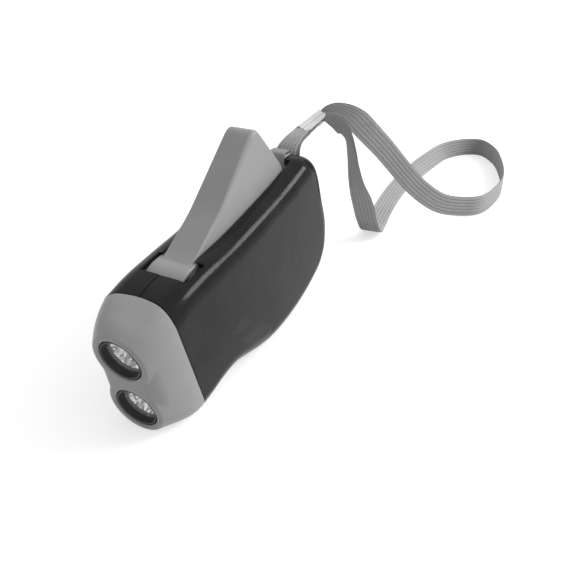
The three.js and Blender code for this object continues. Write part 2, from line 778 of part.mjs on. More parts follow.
// Compound gears turn on fixed axles
piece(torch, 'first_gear', bored(joined(
  slab(gearShape(firstAxis, middleModule, firstWheelTeeth, secondMeshAngle),
    -firstWheelOuter, -firstWheelInner),
  slab(gearShape(firstAxis, leverModule, firstPinionTeeth,
    meshed(hinge, firstAxis, firstPinionTeeth)),
  half(wheelWidth) - firstWheelOuter, firstPinionHalfWidth),
), firstAxis, axleRadius + half(fit)), nylon);
piece(torch, 'second_gear', bored(joined(
  slab(gearShape(secondAxis, fineModule, secondWheelTeeth, rotorMeshAngle),
    -secondWheelOuter, -secondWheelInner),
  slab(gearShape(secondAxis, middleModule, secondPinionTeeth,
    meshed(firstAxis, secondAxis, secondPinionTeeth)),
  half(wheelWidth) - secondWheelOuter, -firstWheelInner),
), secondAxis, axleRadius + half(fit)), nylon);
piece(torch, 'first_gear_axle', bar(firstAxis, axleRadius, -pinEnd, pinEnd, 12), steel);
piece(torch, 'second_gear_axle', bar(secondAxis, axleRadius, -pinEnd, -firstWheelInner, 12), steel);

// Rotor: shaft with its pinion, magnet and flywheel pressed on
piece(torch, 'rotor_shaft', bar(rotorAxis, axleRadius, -pinEnd, pinEnd, 12).add(
  slab(gearShape(rotorAxis, fineModule, rotorPinionTeeth,
    meshed(secondAxis, rotorAxis, rotorPinionTeeth)), -secondWheelOuter, -secondWheelInner),
), steel);
piece(torch, 'rotor_magnet', bored(
  bar(rotorAxis, magnetRadius, -magnetHalfWidth, magnetHalfWidth, 28),
  rotorAxis, axleRadius + half(fit), 16,
), ferrite);
function flywheel() {
  const outer = flywheelInner + flywheelWidth;
  const dish = bar(rotorAxis, flywheelRadius - flywheelRim, outer - half(flywheelWidth),
    outer + overrun, 28);
  const disc = bar(rotorAxis, flywheelRadius, flywheelInner, outer, 32).subtract(dish)
    .add(bar(rotorAxis, flywheelHub, flywheelInner, outer, 16));
  return bored(disc, rotorAxis, axleRadius + half(fit), 16);
}
piece(torch, 'flywheel', flywheel(), steel);

// Horseshoe core round the magnet, the coil on its lower bar
const poleRadius = magnetRadius + airGap;
const coreHalfSpan = poleRadius + coreLeg;
const coilHeight = rotorAxis.y - coilDrop;
const poleShare = 0.6;
function statorCore() {
  const y = rotorAxis.x;
  const bottom = coilHeight - half(coreLeg);
  const frame = block(-coreHalfWidth, coreHalfWidth, y - coreHalfSpan, y + coreHalfSpan,
    bottom, rotorAxis.y + poleShare * poleRadius);
  const window = block(-through, through, y - poleRadius, y + poleRadius,
    bottom + coreLeg, rotorAxis.y + 2 * poleRadius);
  const shoe = (middle) => slab(
    arcBand(rotorAxis, poleRadius, poleRadius + coreLeg, middle - 28 * deg, middle + 28 * deg),
    -coreHalfWidth, coreHalfWidth,
  );
  return bored(frame.subtract(window).add(shoe(0)).add(shoe(Math.PI)), rotorAxis, poleRadius, 32);
}
piece(torch, 'stator_core', statorCore(), steel);

// Bobbin and winding, revolved about the lower bar
const coilHalf = poleRadius - fit;
const bobbinHole = coreHalfWidth + fit;
const bobbinCore = Math.hypot(bobbinHole, half(coreLeg) + fit) + bobbinWall;
const alongBar = (profile) => solid(lathed(profile, 24).translate(0, rotorAxis.x, coilHeight));
function coilBobbin() {
  const flange = coilRadius + fit;
  const cheek = coilHalf - bobbinFlange;
  const form = alongBar([
    [0, -coilHalf], [flange, -coilHalf], [flange, -cheek], [bobbinCore, -cheek],
    [bobbinCore, cheek], [flange, cheek], [flange, coilHalf], [0, coilHalf],
  ]);
  const holeHalf = half(coreLeg) + fit;
  return form.subtract(block(-bobbinHole, bobbinHole, rotorAxis.x - 2 * coilHalf,
    rotorAxis.x + 2 * coilHalf, coilHeight - holeHalf, coilHeight + holeHalf));
}
piece(torch, 'coil_bobbin', coilBobbin(), black);
const windingInner = bobbinCore + half(fit);
const windingHalf = coilHalf - bobbinFlange - half(fit);
piece(torch, 'coil_winding', alongBar([
  [windingInner, -windingHalf], [coilRadius, -windingHalf], [coilRadius, windingHalf],
  [windingInner, windingHalf], [windingInner, -windingHalf],
]), copper);

// Power board with the cell, its clip and the bridge rectifier
const boardCorner = placed(boardCornerShare);
const boardMiddle = new THREE.Vector2(
  boardCorner.x + half(boardLength), boardCorner.y + half(boardHeight),
);
const cellStack = boardThickness + cellThickness + clipThickness + 2 * fit;
const boardOffset = innerHalf - clipWallRoom - cellStack;
const boardFace = boardOffset + boardThickness;
piece(torch, 'power_board', block(boardOffset, boardFace, boardCorner.x,
  boardCorner.x + boardLength, boardCorner.y, boardCorner.y + boardHeight), boardGreen);
const cellOuter = boardFace + fit + cellThickness;
piece(torch, 'storage_cell', bar(boardMiddle, cellRadius, boardFace + fit, cellOuter, 32), steel);
function cellClip() {
  const outer = cellOuter + fit;
  const y0 = boardMiddle.x - half(clipWidth);
  const y1 = boardMiddle.x + half(clipWidth);
  const top = boardMiddle.y + Math.max(cellRadius, half(boardHeight)) + fit;
  return joined(
    block(outer, outer + clipThickness, y0, y1, boardMiddle.y - cellRadius, top + clipThickness),
    block(boardOffset, outer + clipThickness, y0, y1, top, top + clipThickness),
  );
}
piece(torch, 'cell_clip', cellClip(), steel);
function bridgeRectifier() {
  const face = boardOffset - rectifierStand;
  const reach = half(rectifierSize);
  const legs = [[-1, -1], [-1, 1], [1, -1], [1, 1]].map(([along, up]) => bar(
    new THREE.Vector2(boardMiddle.x + 0.7 * along * reach, boardMiddle.y + 0.7 * up * reach),
    rectifierLeg, face - half(rectifierHeight), boardOffset - half(fit), 8,
  ));
  return joined(block(face - rectifierHeight, face, boardMiddle.x - reach, boardMiddle.x + reach,
    boardMiddle.y - reach, boardMiddle.y + reach), ...legs);
}
piece(torch, 'bridge_rectifier', bridgeRectifier(), black);

// Leads along the belly, from the lamps and from the coil to the power board
const leadGap = fit + leadRadius;
function lampLead(layer, height, end) {
  const x = coilRadius + leadGap + layer * (leadGap + leadRadius);
  const start = fromLamps(boardFront + boardThickness + leadGap, -lampSpacing);
  const frontScrew = placed(screwShares.front);
  const over = frontScrew.y + screwRadius + bossWall + leadGap;
  return wire([
    new THREE.Vector3(half(x), start.x, start.y + height),
    new THREE.Vector3(x, frontScrew.x, over),
    new THREE.Vector3(x, rotorAxis.x, coilHeight - half(coreLeg)),
    new THREE.Vector3(x, firstAxis.x, boardCorner.y - leadGap),
    new THREE.Vector3(boardFace + leadGap, boardCorner.x + leadRadius, boardCorner.y + end),
  ], leadRadius, 14, 5);
}
piece(torch, 'lamp_lead_red', lampLead(1, 0, leadRadius), leadRed);
piece(torch, 'lamp_lead_black', lampLead(2, leadRadius * 3, leadRadius * 4), black);
piece(torch, 'coil_leads', wire([
  new THREE.Vector3(coilRadius + leadGap, rotorAxis.x + half(windingHalf), coilHeight),
  new THREE.Vector3(coilRadius + leadGap, rotorAxis.x + 2 * coilHalf, coilHeight - coilRadius),
  new THREE.Vector3(coilRadius + leadGap, firstAxis.x, boardCorner.y - 4 * leadGap),
  new THREE.Vector3(boardFace, boardCorner.x + half(clipWidth), boardCorner.y - leadGap),
], leadRadius, 12, 5), copper);

// Catch: ribbed thumb piece in its slot, flange under the shell, tongue towards the lever
function leverLock() {
  const from = catchFront;
  const roof = heightsAt(outline, from - catchTravel)[0] - wall - fit;
  const top = shellHeight + catchRise;
  const grooves = [1, 2, 3].map((n) => {
    const y = from + (n * catchLength) / 4;
    return block(-through, through, y - half(gripGroove), y + half(gripGroove),
      top - gripGroove, top + overrun);
  });
  return joined(
    block(-catchHalfWidth, catchHalfWidth, from, catchBack, roof - catchFlangeDepth, top),
    block(-catchHalfWidth - catchFlange, catchHalfWidth + catchFlange, from, catchBack,
      roof - catchFlangeDepth, roof),
    block(-catchHalfWidth, catchHalfWidth, from, from + catchTongue,
      catchTongueTop - catchTongue, roof - half(catchFlangeDepth)),
    block(-catchHalfWidth, catchHalfWidth, from - catchTongueReach, from + catchTongue,
      catchTongueTop - catchTongue, catchTongueTop),
  ).subtract(joined(...grooves));
}
piece(torch, 'lever_lock', leverLock(), catchGrey);

// Anchor loop round the pin, out of the slot and back to the crimp
piece(torch, 'strap_pin', bar(strapPin, strapPinRadius, -strapPinHalf, strapPinHalf, 14), steel);
const anchorPoint = ([along, up]) => new THREE.Vector3(
  0, strapPin.x + along * anchorRun, strapPin.y + up * anchorRise,
);
const anchorRoute = new THREE.CatmullRomCurve3(
  [[0, 0], ...anchorShares, [1, 1]].map(anchorPoint), false, 'centripetal',
);
function anchorShape(skin) {
  const steps = 8;
  const left = [];
  const right = [];
  const sides = (t) => {
    const p = anchorRoute.getPoint(t);
    const d = anchorRoute.getTangent(t);
    const apart = skin + half(fit) + (strapPinRadius + half(fit)) * Math.max(1 - 1.6 * t, 0);
    left.push(new THREE.Vector2(p.y - d.z * apart, p.z + d.y * apart));
    right.unshift(new THREE.Vector2(p.y + d.z * apart, p.z - d.y * apart));
  };
  const last = 1 - (crimpSet + strapThickness - skin) / anchorRoute.getLength();
  for (let i = 0; i <= steps; i += 1) sides((last * i) / steps);
  const d = anchorRoute.getTangent(0);
  const start = Math.atan2(d.z, d.y);
  const under = Array.from({ length: 7 }, (_, i) => around(
    strapPin, skin + fit + strapPinRadius, start - Math.PI / 2 - ((i + 1) * Math.PI) / 8,
  ));
  return new THREE.Shape([...left, ...right, ...under]);
}
function strapLoop() {
  const w = half(anchorWidth);
  return slab(anchorShape(strapThickness), -w, w).subtract(slab(anchorShape(0), -w - overrun, w + overrun));
}
piece(torch, 'strap_loop', strapLoop(), webbing);

// Crimp of two barrels side by side
function strapCrimp() {
  const foot = anchorPoint([1, 1]).setX(crimpShift);
  const along = new THREE.Vector3(...crimpAimShares).normalize();
  const across = new THREE.Vector3(1, 0, 0).addScaledVector(along, -along.x).normalize();
  const barrels = [-1, 1].map((side) => {
    const barrel = new THREE.CylinderGeometry(crimpRadius, crimpRadius, crimpLength, 16);
    barrel.applyQuaternion(new THREE.Quaternion().setFromUnitVectors(
      new THREE.Vector3(0, 1, 0), along,
    ));
    const middle = foot.clone().addScaledVector(along, fit + half(crimpLength))
      .addScaledVector(across, side * (crimpRadius - half(fit)));
    return solid(barrel.translate(middle.x, middle.y, middle.z));
  });
  return barrels[0].add(barrels[1]);
}
piece(torch, 'strap_crimp', strapCrimp(), chrome);

// Route of the free strap from the crimp, out over the ground and back to the crimp:
// x, y, z of its middle and the lean of its width from level, in degrees
const strapRoute = [
  [4.5, 59.9, 63.1, 70],
  [6.5, 59.0, 64.6, 76],
  [9.1, 59.0, 65.4, 84],
  [12.4, 60.1, 64.8, 90],
  [13.6, 65.6, 61.5, 90],
  [12.8, 75.4, 56.0, 90],
  [12.1, 89.5, 47.5, 90],
  [12.7, 102.7, 38.5, 90],
  [14.4, 111.3, 31.0, 90],
  [17.5, 116.5, 24.5, 90],
  [23.0, 122.8, 16.0, 90],
  [30.6, 129.9, 8.7, 90],
  [38.3, 137.8, 5.6, 90],
  [45.1, 145.4, 4.8, 90],
  [48.3, 161.4, 4.6, 90],
  [47.7, 178.8, 4.6, 90],
  [41.5, 201.6, 4.6, 90],
  [33.7, 219.1, 4.6, 90],
  [24.2, 228.6, 4.6, 90],
  [16.5, 225.6, 4.6, 88],
  [8.4, 214.1, 4.4, 70],
  [5.1, 197.4, 3.8, 50],
  [2.7, 179.7, 2.6, 28],
  [1.4, 160.7, 1.4, 10],
  [2.6, 143.1, 1.0, 3],
  [5.2, 124.3, 0.9, 0],
  [7.8, 110.3, 1.0, 0],
  [9.9, 99.4, 3.5, 0],
  [9.3, 95.8, 9.0, -4],
  [10.5, 88.3, 18.0, -10],
  [12.0, 79.3, 28.0, -18],
  [13.8, 70.2, 37.5, -30],
  [15.8, 61.4, 47.5, -52],
  [16.7, 55.5, 55.5, -72],
  [14.9, 53.9, 60.2, -85],
  [11.5, 54.9, 62.2, -90],
  [8.0, 56.7, 62.6, -90],
  [5.9, 58.3, 62.5, -90],
];
const gatherShares = [0.35, 0.6, 0.85];
function wristStrap() {
  const curve = new THREE.CatmullRomCurve3(
    strapRoute.map(([x, y, z]) => new THREE.Vector3(x, y, z)), false, 'centripetal',
  );
  const last = strapRoute.length - 1;
  const rings = [];
  for (let i = 0; i <= 2 * last; i += 1) {
    const t = i / 2;
    const tangent = curve.getTangent(t / last);
    const level = new THREE.Vector3(tangent.y, -tangent.x, 0).normalize();
    const rise = level.clone().cross(tangent);
    const [a, b] = [strapRoute[Math.floor(t)][3], strapRoute[Math.ceil(t)][3]];
    const lean = half(a + b) * deg;
    const gather = gatherShares[Math.floor(Math.min(t, last - t))] ?? 1;
    const across = level.multiplyScalar(Math.cos(lean)).addScaledVector(rise, Math.sin(lean));
    const out = tangent.clone().cross(across).multiplyScalar(half(strapThickness));
    across.multiplyScalar(half(strapWidth) * gather);
    const middle = curve.getPoint(t / last);
    rings.push([
      middle.clone().add(across).add(out), middle.clone().sub(across).add(out),
      middle.clone().sub(across).sub(out), middle.clone().add(across).sub(out),
    ]);
  }
  return loft(rings);
}
piece(group, 'wrist_strap', wristStrap(), webbing);

export default group;
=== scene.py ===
# Two-lamp dynamo torch with a squeeze lever and a wrist strap, standing on its lower edge.
# Sizes are in millimetres and turn into metres where a mesh is made. Camera and lamp are placed
# in metres.
import math

import bpy
import numpy as np
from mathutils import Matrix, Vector


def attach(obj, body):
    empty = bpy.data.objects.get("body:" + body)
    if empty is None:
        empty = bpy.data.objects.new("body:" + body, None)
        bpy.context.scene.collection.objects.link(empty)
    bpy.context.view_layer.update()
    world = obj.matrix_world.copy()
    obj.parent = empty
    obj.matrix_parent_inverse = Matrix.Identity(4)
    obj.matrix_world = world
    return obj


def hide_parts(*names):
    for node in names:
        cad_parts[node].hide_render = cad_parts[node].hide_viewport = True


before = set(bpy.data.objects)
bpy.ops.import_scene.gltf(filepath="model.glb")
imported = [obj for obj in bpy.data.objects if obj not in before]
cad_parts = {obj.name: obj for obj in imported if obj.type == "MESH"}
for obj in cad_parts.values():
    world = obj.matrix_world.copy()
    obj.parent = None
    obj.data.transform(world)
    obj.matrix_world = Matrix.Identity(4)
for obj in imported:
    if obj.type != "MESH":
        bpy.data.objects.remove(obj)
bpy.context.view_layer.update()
mm = 0.001
deg = math.pi / 180
scene = bpy.context.scene

# The photograph's view: a narrow lens at the near side, looking down
camera = {"lens": 43.9, "turn": 27.7, "down": 29.1, "place": (0.1052, -0.1592, 0.1300)}


def makeCamera():
    data = bpy.data.cameras.new("camera")
    data.lens = camera["lens"]
    data.sensor_width = 36
    data.clip_start = 0.01
    view = bpy.data.objects.new("camera", data)
    view.location = camera["place"]
    view.rotation_euler = ((90 - camera["down"]) * deg, 0, camera["turn"] * deg)
    scene.collection.objects.link(view)
    scene.camera = view


makeCamera()
print("camera placed")


# Finishes: a value over the surface, and a material under construction
class Amount:
    def __init__(self, finish, socket):
        self.finish = finish
        self.socket = socket

    def maths(self, operation, second=0.0):
        return self.finish.value("Math", {"operation": operation}, {0: self, 1: second})

    def __add__(self, other):
        return self.maths("ADD", other)

    def __mul__(self, other):
        return self.maths("MULTIPLY", other)

    def __sub__(self, other):
        return self.maths("SUBTRACT", other)

    def __rsub__(self, other):
        return self.finish.value("Math", {"operation": "SUBTRACT"}, {0: other, 1: self})

    def __pow__(self, other):
        return self.maths("POWER", other)

    __radd__ = __add__
    __rmul__ = __mul__

    def within(self, low, high):
        return self.finish.value(
            "MapRange", {"interpolation_type": "SMOOTHSTEP"},
            {"Value": self, "From Min": low, "From Max": high},
        )


class Finish:
    def __init__(self, owner):
        if isinstance(owner, str):
            owner = bpy.data.materials.new(owner)
        owner.use_nodes = True
        self.owner, self.tree = owner, owner.node_tree
        self.tree.nodes.clear()

    def node(self, kind, settings=None, sockets=None):
        made = self.tree.nodes.new("ShaderNode" + kind)
        for name, value in (settings or {}).items():
            setattr(made, name, value)
        for name, value in (sockets or {}).items():
            if isinstance(value, Amount):
                value = value.socket
            if isinstance(value, bpy.types.NodeSocket):
                self.tree.links.new(value, made.inputs[name])
            else:
                made.inputs[name].default_value = value
        return made

    def value(self, kind, settings=None, sockets=None, output=0):
        return Amount(self, self.node(kind, settings, sockets).outputs[output])

    def place(self):
        return self.value("TexCoord", output="Object")

    def along(self, axis):
        return self.value("SeparateXYZ", sockets={0: self.place()}, output=axis)

    def noise(self, size, detail, stretch=None):
        point = self.place()
        if stretch:
            point = self.value("VectorMath", {"operation": "MULTIPLY"}, {0: point, 1: stretch})
        return self.value("TexNoise", sockets={
            "Vector": point, "Scale": 1 / (size * mm), "Detail": detail,
        })

    def cells(self, scale, output=0):
        sockets = {"Vector": self.place(), "Scale": scale}
        return self.value("TexVoronoi", sockets=sockets, output=output)

    def blend(self, amount, first, second):
        first, second = (colour(c) if isinstance(c, str) else c for c in (first, second))
        return self.value(
            "Mix", {"data_type": "RGBA"}, {0: amount, 6: first, 7: second}, output=2,
        )

    def bump(self, height, depth):
        return self.value("Bump", sockets={"Height": height, "Distance": depth * mm})

    def worn(self):  # rubbed edges
        return self.value("NewGeometry", output="Pointiness").within(0.505, 0.56)

    def principled(self, **sockets):
        names = {name.replace("_", " "): value for name, value in sockets.items()}
        return self.node("BsdfPrincipled", sockets=names)

    def done(self, shader, kind="Material"):
        self.node("Output" + kind, sockets={"Surface": shader.outputs[0]})
        return self.owner

    def surface(self, **sockets):
        return self.done(self.principled(**sockets))


black, white = (0, 0, 0, 1), (1, 1, 1, 1)


def colour(code):
    levels = [int(code[i:i + 2], 16) / 255 for i in (0, 2, 4)]
    return tuple(c / 12.92 if c < 0.04045 else ((c + 0.055) / 1.055) ** 2.4 for c in levels) + (1,)


def satinPlastic(name, tone, light, rough, grain=0.22, depth=0.012):
    f = Finish(name)
    cloud = f.noise(9, 4).within(0.3, 0.7)
    fine = f.noise(grain, 2)
    scuff = f.noise(1.4, 4, (1, 0.25, 1)).within(0.62, 0.74)
    tint = f.blend(cloud * 0.16 + scuff * 0.12, tone, light)
    tint = f.blend(f.worn() * 0.35, tint, light)
    return f.surface(
        Base_Color=tint, Roughness=rough + cloud * 0.06 + scuff * 0.08,
        Normal=f.bump(fine, depth),
    )


# Smoky see-through plastic: gloss over a dark body that lets part of the light by
def smokyPlastic(name, clear, gloss, index):
    f = Finish(name)
    cloud = f.noise(14, 3).within(0.3, 0.75)
    scratch = f.noise(0.9, 3, (1, 0.08, 0.6)).within(0.66, 0.72)
    ripple = f.noise(6, 2)
    body = f.principled(
        Base_Color=f.blend(cloud, "191919", "242424"),
        Roughness=gloss + scratch * 0.12 + cloud * 0.03,
        Normal=f.bump(ripple, 0.03), IOR=index,
    )
    through = f.node("BsdfTransparent", sockets={"Color": (0.75, 0.75, 0.75, 1)})
    mix = f.node("MixShader", sockets={
        0: clear - scratch * 0.05, 1: body.outputs[0], 2: through.outputs[0],
    })
    return f.done(mix)


def clearPlastic(name, clear, rough=0.04):
    f = Finish(name)
    tint = (0.98, 0.98, 0.98, 1)
    dust = f.noise(0.5, 3).within(0.6, 0.8)
    body = f.principled(
        Base_Color=f.blend(dust, tint, "dcdcd8"), Roughness=rough + dust * 0.1,
        Normal=f.bump(f.noise(2, 2), 0.01), IOR=1.49,
    )
    through = f.node("BsdfTransparent", sockets={"Color": tint})
    edge = f.value("LayerWeight", sockets={"Blend": 0.25}, output="Facing")
    mix = f.node("MixShader", sockets={
        0: clear - edge * 0.35, 1: body.outputs[0], 2: through.outputs[0],
    })
    return f.done(mix)


def metal(name, tone, dark, rough, grain=0.4, stretch=(1, 1, 1)):
    f = Finish(name)
    lines = f.noise(grain, 3, stretch)
    stain = f.noise(5, 4).within(0.35, 0.75)
    tint = f.blend(stain * 0.6, tone, dark)
    return f.surface(
        Base_Color=f.blend(f.worn() * 0.5, tint, "e8e9ea"), Metallic=1.0,
        Roughness=rough + lines * 0.14 + stain * 0.06, Normal=f.bump(lines, 0.004),
    )


# Pressed foil of the lamp dishes: small facets, each with its own tone at random; some facets glow
# as painted glints
def facetFoil(name):
    f = Finish(name)
    chance = f.value("SeparateXYZ", sockets={0: f.cells(1100, 1)})
    edge = f.cells(1100)
    tint = f.blend(chance.within(0.05, 0.5), "8f9193", "ffffff")
    # Painted glints: a faint glow on some facets, though the dish is no lamp
    painted_glint_glow = f.blend(chance.within(0.3, 0.85), black, white)
    return f.surface(
        Base_Color=tint, Metallic=0.3, Roughness=0.12 + chance * 0.2,
        Normal=f.bump(edge, 0.14), Emission_Color=painted_glint_glow, Emission_Strength=0.5,
    )


def nylonPlastic(name):
    f = Finish(name)
    cloud = f.noise(4, 3).within(0.3, 0.7)
    grease = f.noise(1.8, 4).within(0.6, 0.78)
    return f.surface(
        Base_Color=f.blend(grease * 0.5, f.blend(cloud, "e9e6dc", "ddd9cb"), "b8b09a"),
        Roughness=0.5 - grease * 0.2, Normal=f.bump(f.noise(0.3, 2), 0.01),
    )


def woundCopper(name, axis, pitch):
    f = Finish(name)
    turn = f.along(axis) * (2 * math.pi / (pitch * mm))
    ridge = turn.maths("SINE") * 0.5 + 0.5
    cloud = f.noise(1.5, 3).within(0.3, 0.7)
    # Darker between the turns of wire: painted shade in the creases between them
    tint = f.blend(ridge, "5a2412", f.blend(cloud, "b5633a", "c9784a"))
    return f.surface(
        Base_Color=tint, Metallic=0.85, Roughness=0.3 + cloud * 0.1,
        Normal=f.bump(ridge, 0.05), Coat_Weight=0.4,
    )


def circuitBoard(name):
    f = Finish(name)
    lines = f.value("TexBrick", {"offset": 0.37, "squash": 1.4, "squash_frequency": 3}, {
        "Vector": f.place(), "Scale": 420.0, "Mortar Size": 0.12, "Color1": black,
        "Color2": black, "Mortar": white, "Brick Width": 1.6, "Row Height": 0.6,
    })
    pads = 1 - f.cells(380).within(0.16, 0.2)
    green = f.blend(f.noise(3, 3), "1f5a33", "2a6e3f")
    tint = f.blend(pads, f.blend(lines * 0.6, green, "4f9a5c"), "c9c4b4")
    return f.surface(
        Base_Color=tint, Metallic=pads * 0.8, Roughness=0.42 - pads * 0.12,
        Normal=f.bump(lines * 0.5 + pads, 0.04),
    )


def insulation(name, tone, light):
    f = Finish(name)
    cloud = f.noise(1.2, 3).within(0.3, 0.7)
    return f.surface(
        Base_Color=f.blend(cloud, tone, light), Roughness=0.42 + cloud * 0.1,
        Normal=f.bump(f.noise(0.4, 2), 0.01),
    )


def darkMagnet(name):
    f = Finish(name)
    pits = f.noise(0.25, 4).within(0.58, 0.7)
    cloud = f.noise(2.5, 3)
    return f.surface(
        Base_Color=f.blend(cloud, "2b2a2a", "3d3b3a"), Metallic=0.25,
        Roughness=0.55 + pits * 0.2, Normal=f.bump(1 - pits, 0.03),
    )


def coreSteel(name):
    f = Finish(name)
    sheet = f.along(0) * (2 * math.pi / (0.5 * mm))
    seam = (sheet.maths("SINE") * 0.5 + 0.5) ** 6
    rust = f.noise(1.6, 4).within(0.6, 0.75)
    tint = f.blend(seam, f.blend(rust, "8d9093", "7a6658"), "3a3b3d")
    return f.surface(
        Base_Color=tint, Metallic=1.0, Roughness=0.38 + rust * 0.25,
        Normal=f.bump(1 - seam, 0.03),
    )


# Woven ribbon: u across, v along in millimetres; picks cross each rib in a herringbone
def wovenRibbon(name, tone, light, ribs):
    f = Finish(name)
    uv = f.value("UVMap", {"uv_map": "ribbon"})
    across, down = (f.value("SeparateXYZ", sockets={0: uv}, output=axis) for axis in (0, 1))
    cell = across * ribs
    fold = ((cell.maths("FRACT") - 0.5) * 2).maths("ABSOLUTE")
    picks = (down * 2.1 + fold * 0.55) * (2 * math.pi)
    pick = picks.maths("SINE") * 0.5 + 0.5
    groove = fold.within(0.72, 1.0)
    fuzz = f.noise(0.18, 3)
    soil = f.noise(16, 4).within(0.4, 0.75)
    # Lighter where the picks rise and darker in the grooves between ribs: painted light and shade
    # of the weave, following its bump
    tint = f.blend(pick * 0.55 + fuzz * 0.25, tone, light)
    tint = f.blend(groove * 0.75, tint, "525252")
    tint = f.blend(soil * 0.14, tint, "7a7977")
    height = pick * 0.6 + fuzz * 0.3 - groove * 0.8
    return f.surface(
        Base_Color=tint, Roughness=0.78 + fuzz * 0.14, Normal=f.bump(height, 0.09),
        Sheen_Weight=0.25, Sheen_Roughness=0.5,
    )


finishes = {
    "smokeOut": smokyPlastic("smoky_plastic", 0.09, 0.12, 1.23),
    "smokeIn": smokyPlastic("smoky_plastic_inside", 0.8, 0.5, 1.08),
    "head": satinPlastic("head_plastic", "959595", "a4a4a4", 0.3),
    "lever": satinPlastic("lever_plastic", "919191", "a4a4a4", 0.36),
    "catch": satinPlastic("catch_plastic", "aaaaaa", "bdbdbd", 0.42),
    "black": satinPlastic("black_plastic", "242426", "3a3a3c", 0.36),
    "bobbin": satinPlastic("bobbin_plastic", "1f1f21", "313133", 0.5),
    "chip": satinPlastic("chip_resin", "1b1b1c", "2a2a2b", 0.6, 0.12, 0.02),
    "lens": clearPlastic("lens_plastic", 0.95),
    "led": clearPlastic("led_resin", 0.6, 0.06),
    "mirror": facetFoil("reflector_foil"),
    "crimp": metal("crimp_metal", "dededd", "bababa", 0.16, 0.5, (0.4, 1, 1)),
    "turned": metal("turned_steel", "b6b9bb", "95989b", 0.22, 0.35, (1, 0.15, 0.15)),
    "spring": metal("spring_wire", "8f9295", "6f7174", 0.3),
    "can": metal("cell_can", "bfc1c3", "a2a4a6", 0.18, 0.9),
    "core": coreSteel("core_steel"),
    "magnet": darkMagnet("magnet_ferrite"),
    "nylon": nylonPlastic("gear_nylon"),
    "copper": woundCopper("coil_copper", 1, 0.28),
    "wire": woundCopper("coil_wire", 1, 0.9),
    "board": circuitBoard("board_laminate"),
    "red": insulation("red_insulation", "8e1f19", "a62a22"),
    "dark": insulation("black_insulation", "1a1a1b", "2c2c2d"),
    "ribbon": wovenRibbon("woven_ribbon", "9c9c9c", "c6c6c6", 6),
    "anchor": wovenRibbon("anchor_ribbon", "999999", "c8c8c8", 6),
}
print("finishes made:", len(finishes))


# Meshes
def newPiece(name, points, faces, looks, body=None, sharp=35, sides=None, ribbonMap=None):
    mesh = bpy.data.meshes.new(name)
    mesh.from_pydata([tuple(float(c) * mm for c in p) for p in points], [], faces)
    for look in looks:
        mesh.materials.append(finishes[look])
    if sides is not None:
        mesh.polygons.foreach_set("material_index", sides)
    if ribbonMap is not None:
        layer = mesh.uv_layers.new(name="ribbon")
        layer.data.foreach_set("uv", [c for face in ribbonMap for corner in face for c in corner])
    piece = bpy.data.objects.new(name, mesh)
    scene.collection.objects.link(piece)
    shade(piece, sharp)
    if body:
        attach(piece, body)
    return piece


def shade(piece, sharp):
    piece.data.shade_smooth()
    piece.data.set_sharp_from_angle(angle=sharp * deg)


# Boolean steps on a piece, then even shading over what they leave
def carve(piece, *steps, sharp):
    for operation, cutter in steps:
        step = piece.modifiers.new("carve", "BOOLEAN")
        step.operation, step.object, step.solver = operation, cutter, "MANIFOLD"
    graph = bpy.context.evaluated_depsgraph_get()
    mesh = bpy.data.meshes.new_from_object(piece.evaluated_get(graph))
    piece.modifiers.clear()
    piece.data = mesh
    mesh.name = piece.name
    shade(piece, sharp)
    even = piece.modifiers.new("even shading", "WEIGHTED_NORMAL")
    even.keep_sharp = True
    even.weight = 80
    for _, cutter in steps:
        bpy.data.objects.remove(cutter)


# Faces through rings of equal counts, closed by one face at each end or by a loop
def skin(rings, looped=False):
    count, last = len(rings[0]), len(rings) - 1
    faces = []
    for r in range(last + looped):
        low, high = r * count, (r + 1) % len(rings) * count
        faces += [
            (low + i, low + (i + 1) % count, high + (i + 1) % count, high + i)
            for i in range(count)
        ]
    if not looped:
        faces.append(tuple(range(count - 1, -1, -1)))
        faces.append(tuple(last * count + i for i in range(count)))
    return [p for ring in rings for p in ring], faces


def joinSkins(*skins):
    points, faces = [], []
    for more, sides in skins:
        faces += [tuple(i + len(points) for i in face) for face in sides]
        points += list(more)
    return points, faces


# Makes the faces of a closed skin look outwards
def outward(made):
    points, faces = made
    p = np.array(points, float)
    volume = sum(
        p[face[0]] @ np.cross(p[face[i]], p[face[i + 1]])
        for face in faces for i in range(1, len(face) - 1)
    )
    return points, [face[::-1] for face in faces] if volume < 0 else faces


def blockSkin(low, high):
    (x0, y0, z0), (x1, y1, z1) = low, high
    ring = lambda z: [(x0, y0, z), (x1, y0, z), (x1, y1, z), (x0, y1, z)]
    return outward(skin([ring(z0), ring(z1)]))


# Angles round a full turn
def around(sides):
    return np.linspace(0, 2 * math.pi, sides, endpoint=False)


# Turns a closed profile of radius and distance into a ring-shaped skin
def lathe(profile, sides, turn):
    return skin([
        [turn(r * math.cos(a), r * math.sin(a), y) for r, y in profile] for a in around(sides)
    ], looped=True)


# Turns an open profile into a solid one, with a flat face at each end
def turned(profile, sides, turn):
    return outward(skin([
        [turn(r * math.cos(a), r * math.sin(a), y) for a in around(sides)] for r, y in profile
    ]))


def barSkin(centre, radius, start, end, sides, edge=0):
    low = radius - edge
    profile = [(low, start), (radius, start + edge), (radius, end - edge), (low, end)]
    turn = lambda a, b, x: (x, centre[0] + a, centre[1] + b)
    return turned(profile if edge else profile[::3], sides, turn)


def tool(made):
    return newPiece("tool", *outward(made), [], sharp=180)


# Steps for carve
def cut(made):
    return "DIFFERENCE", tool(made)


def add(made):
    return "UNION", tool(made)


def keep(made):
    return "INTERSECT", tool(made)


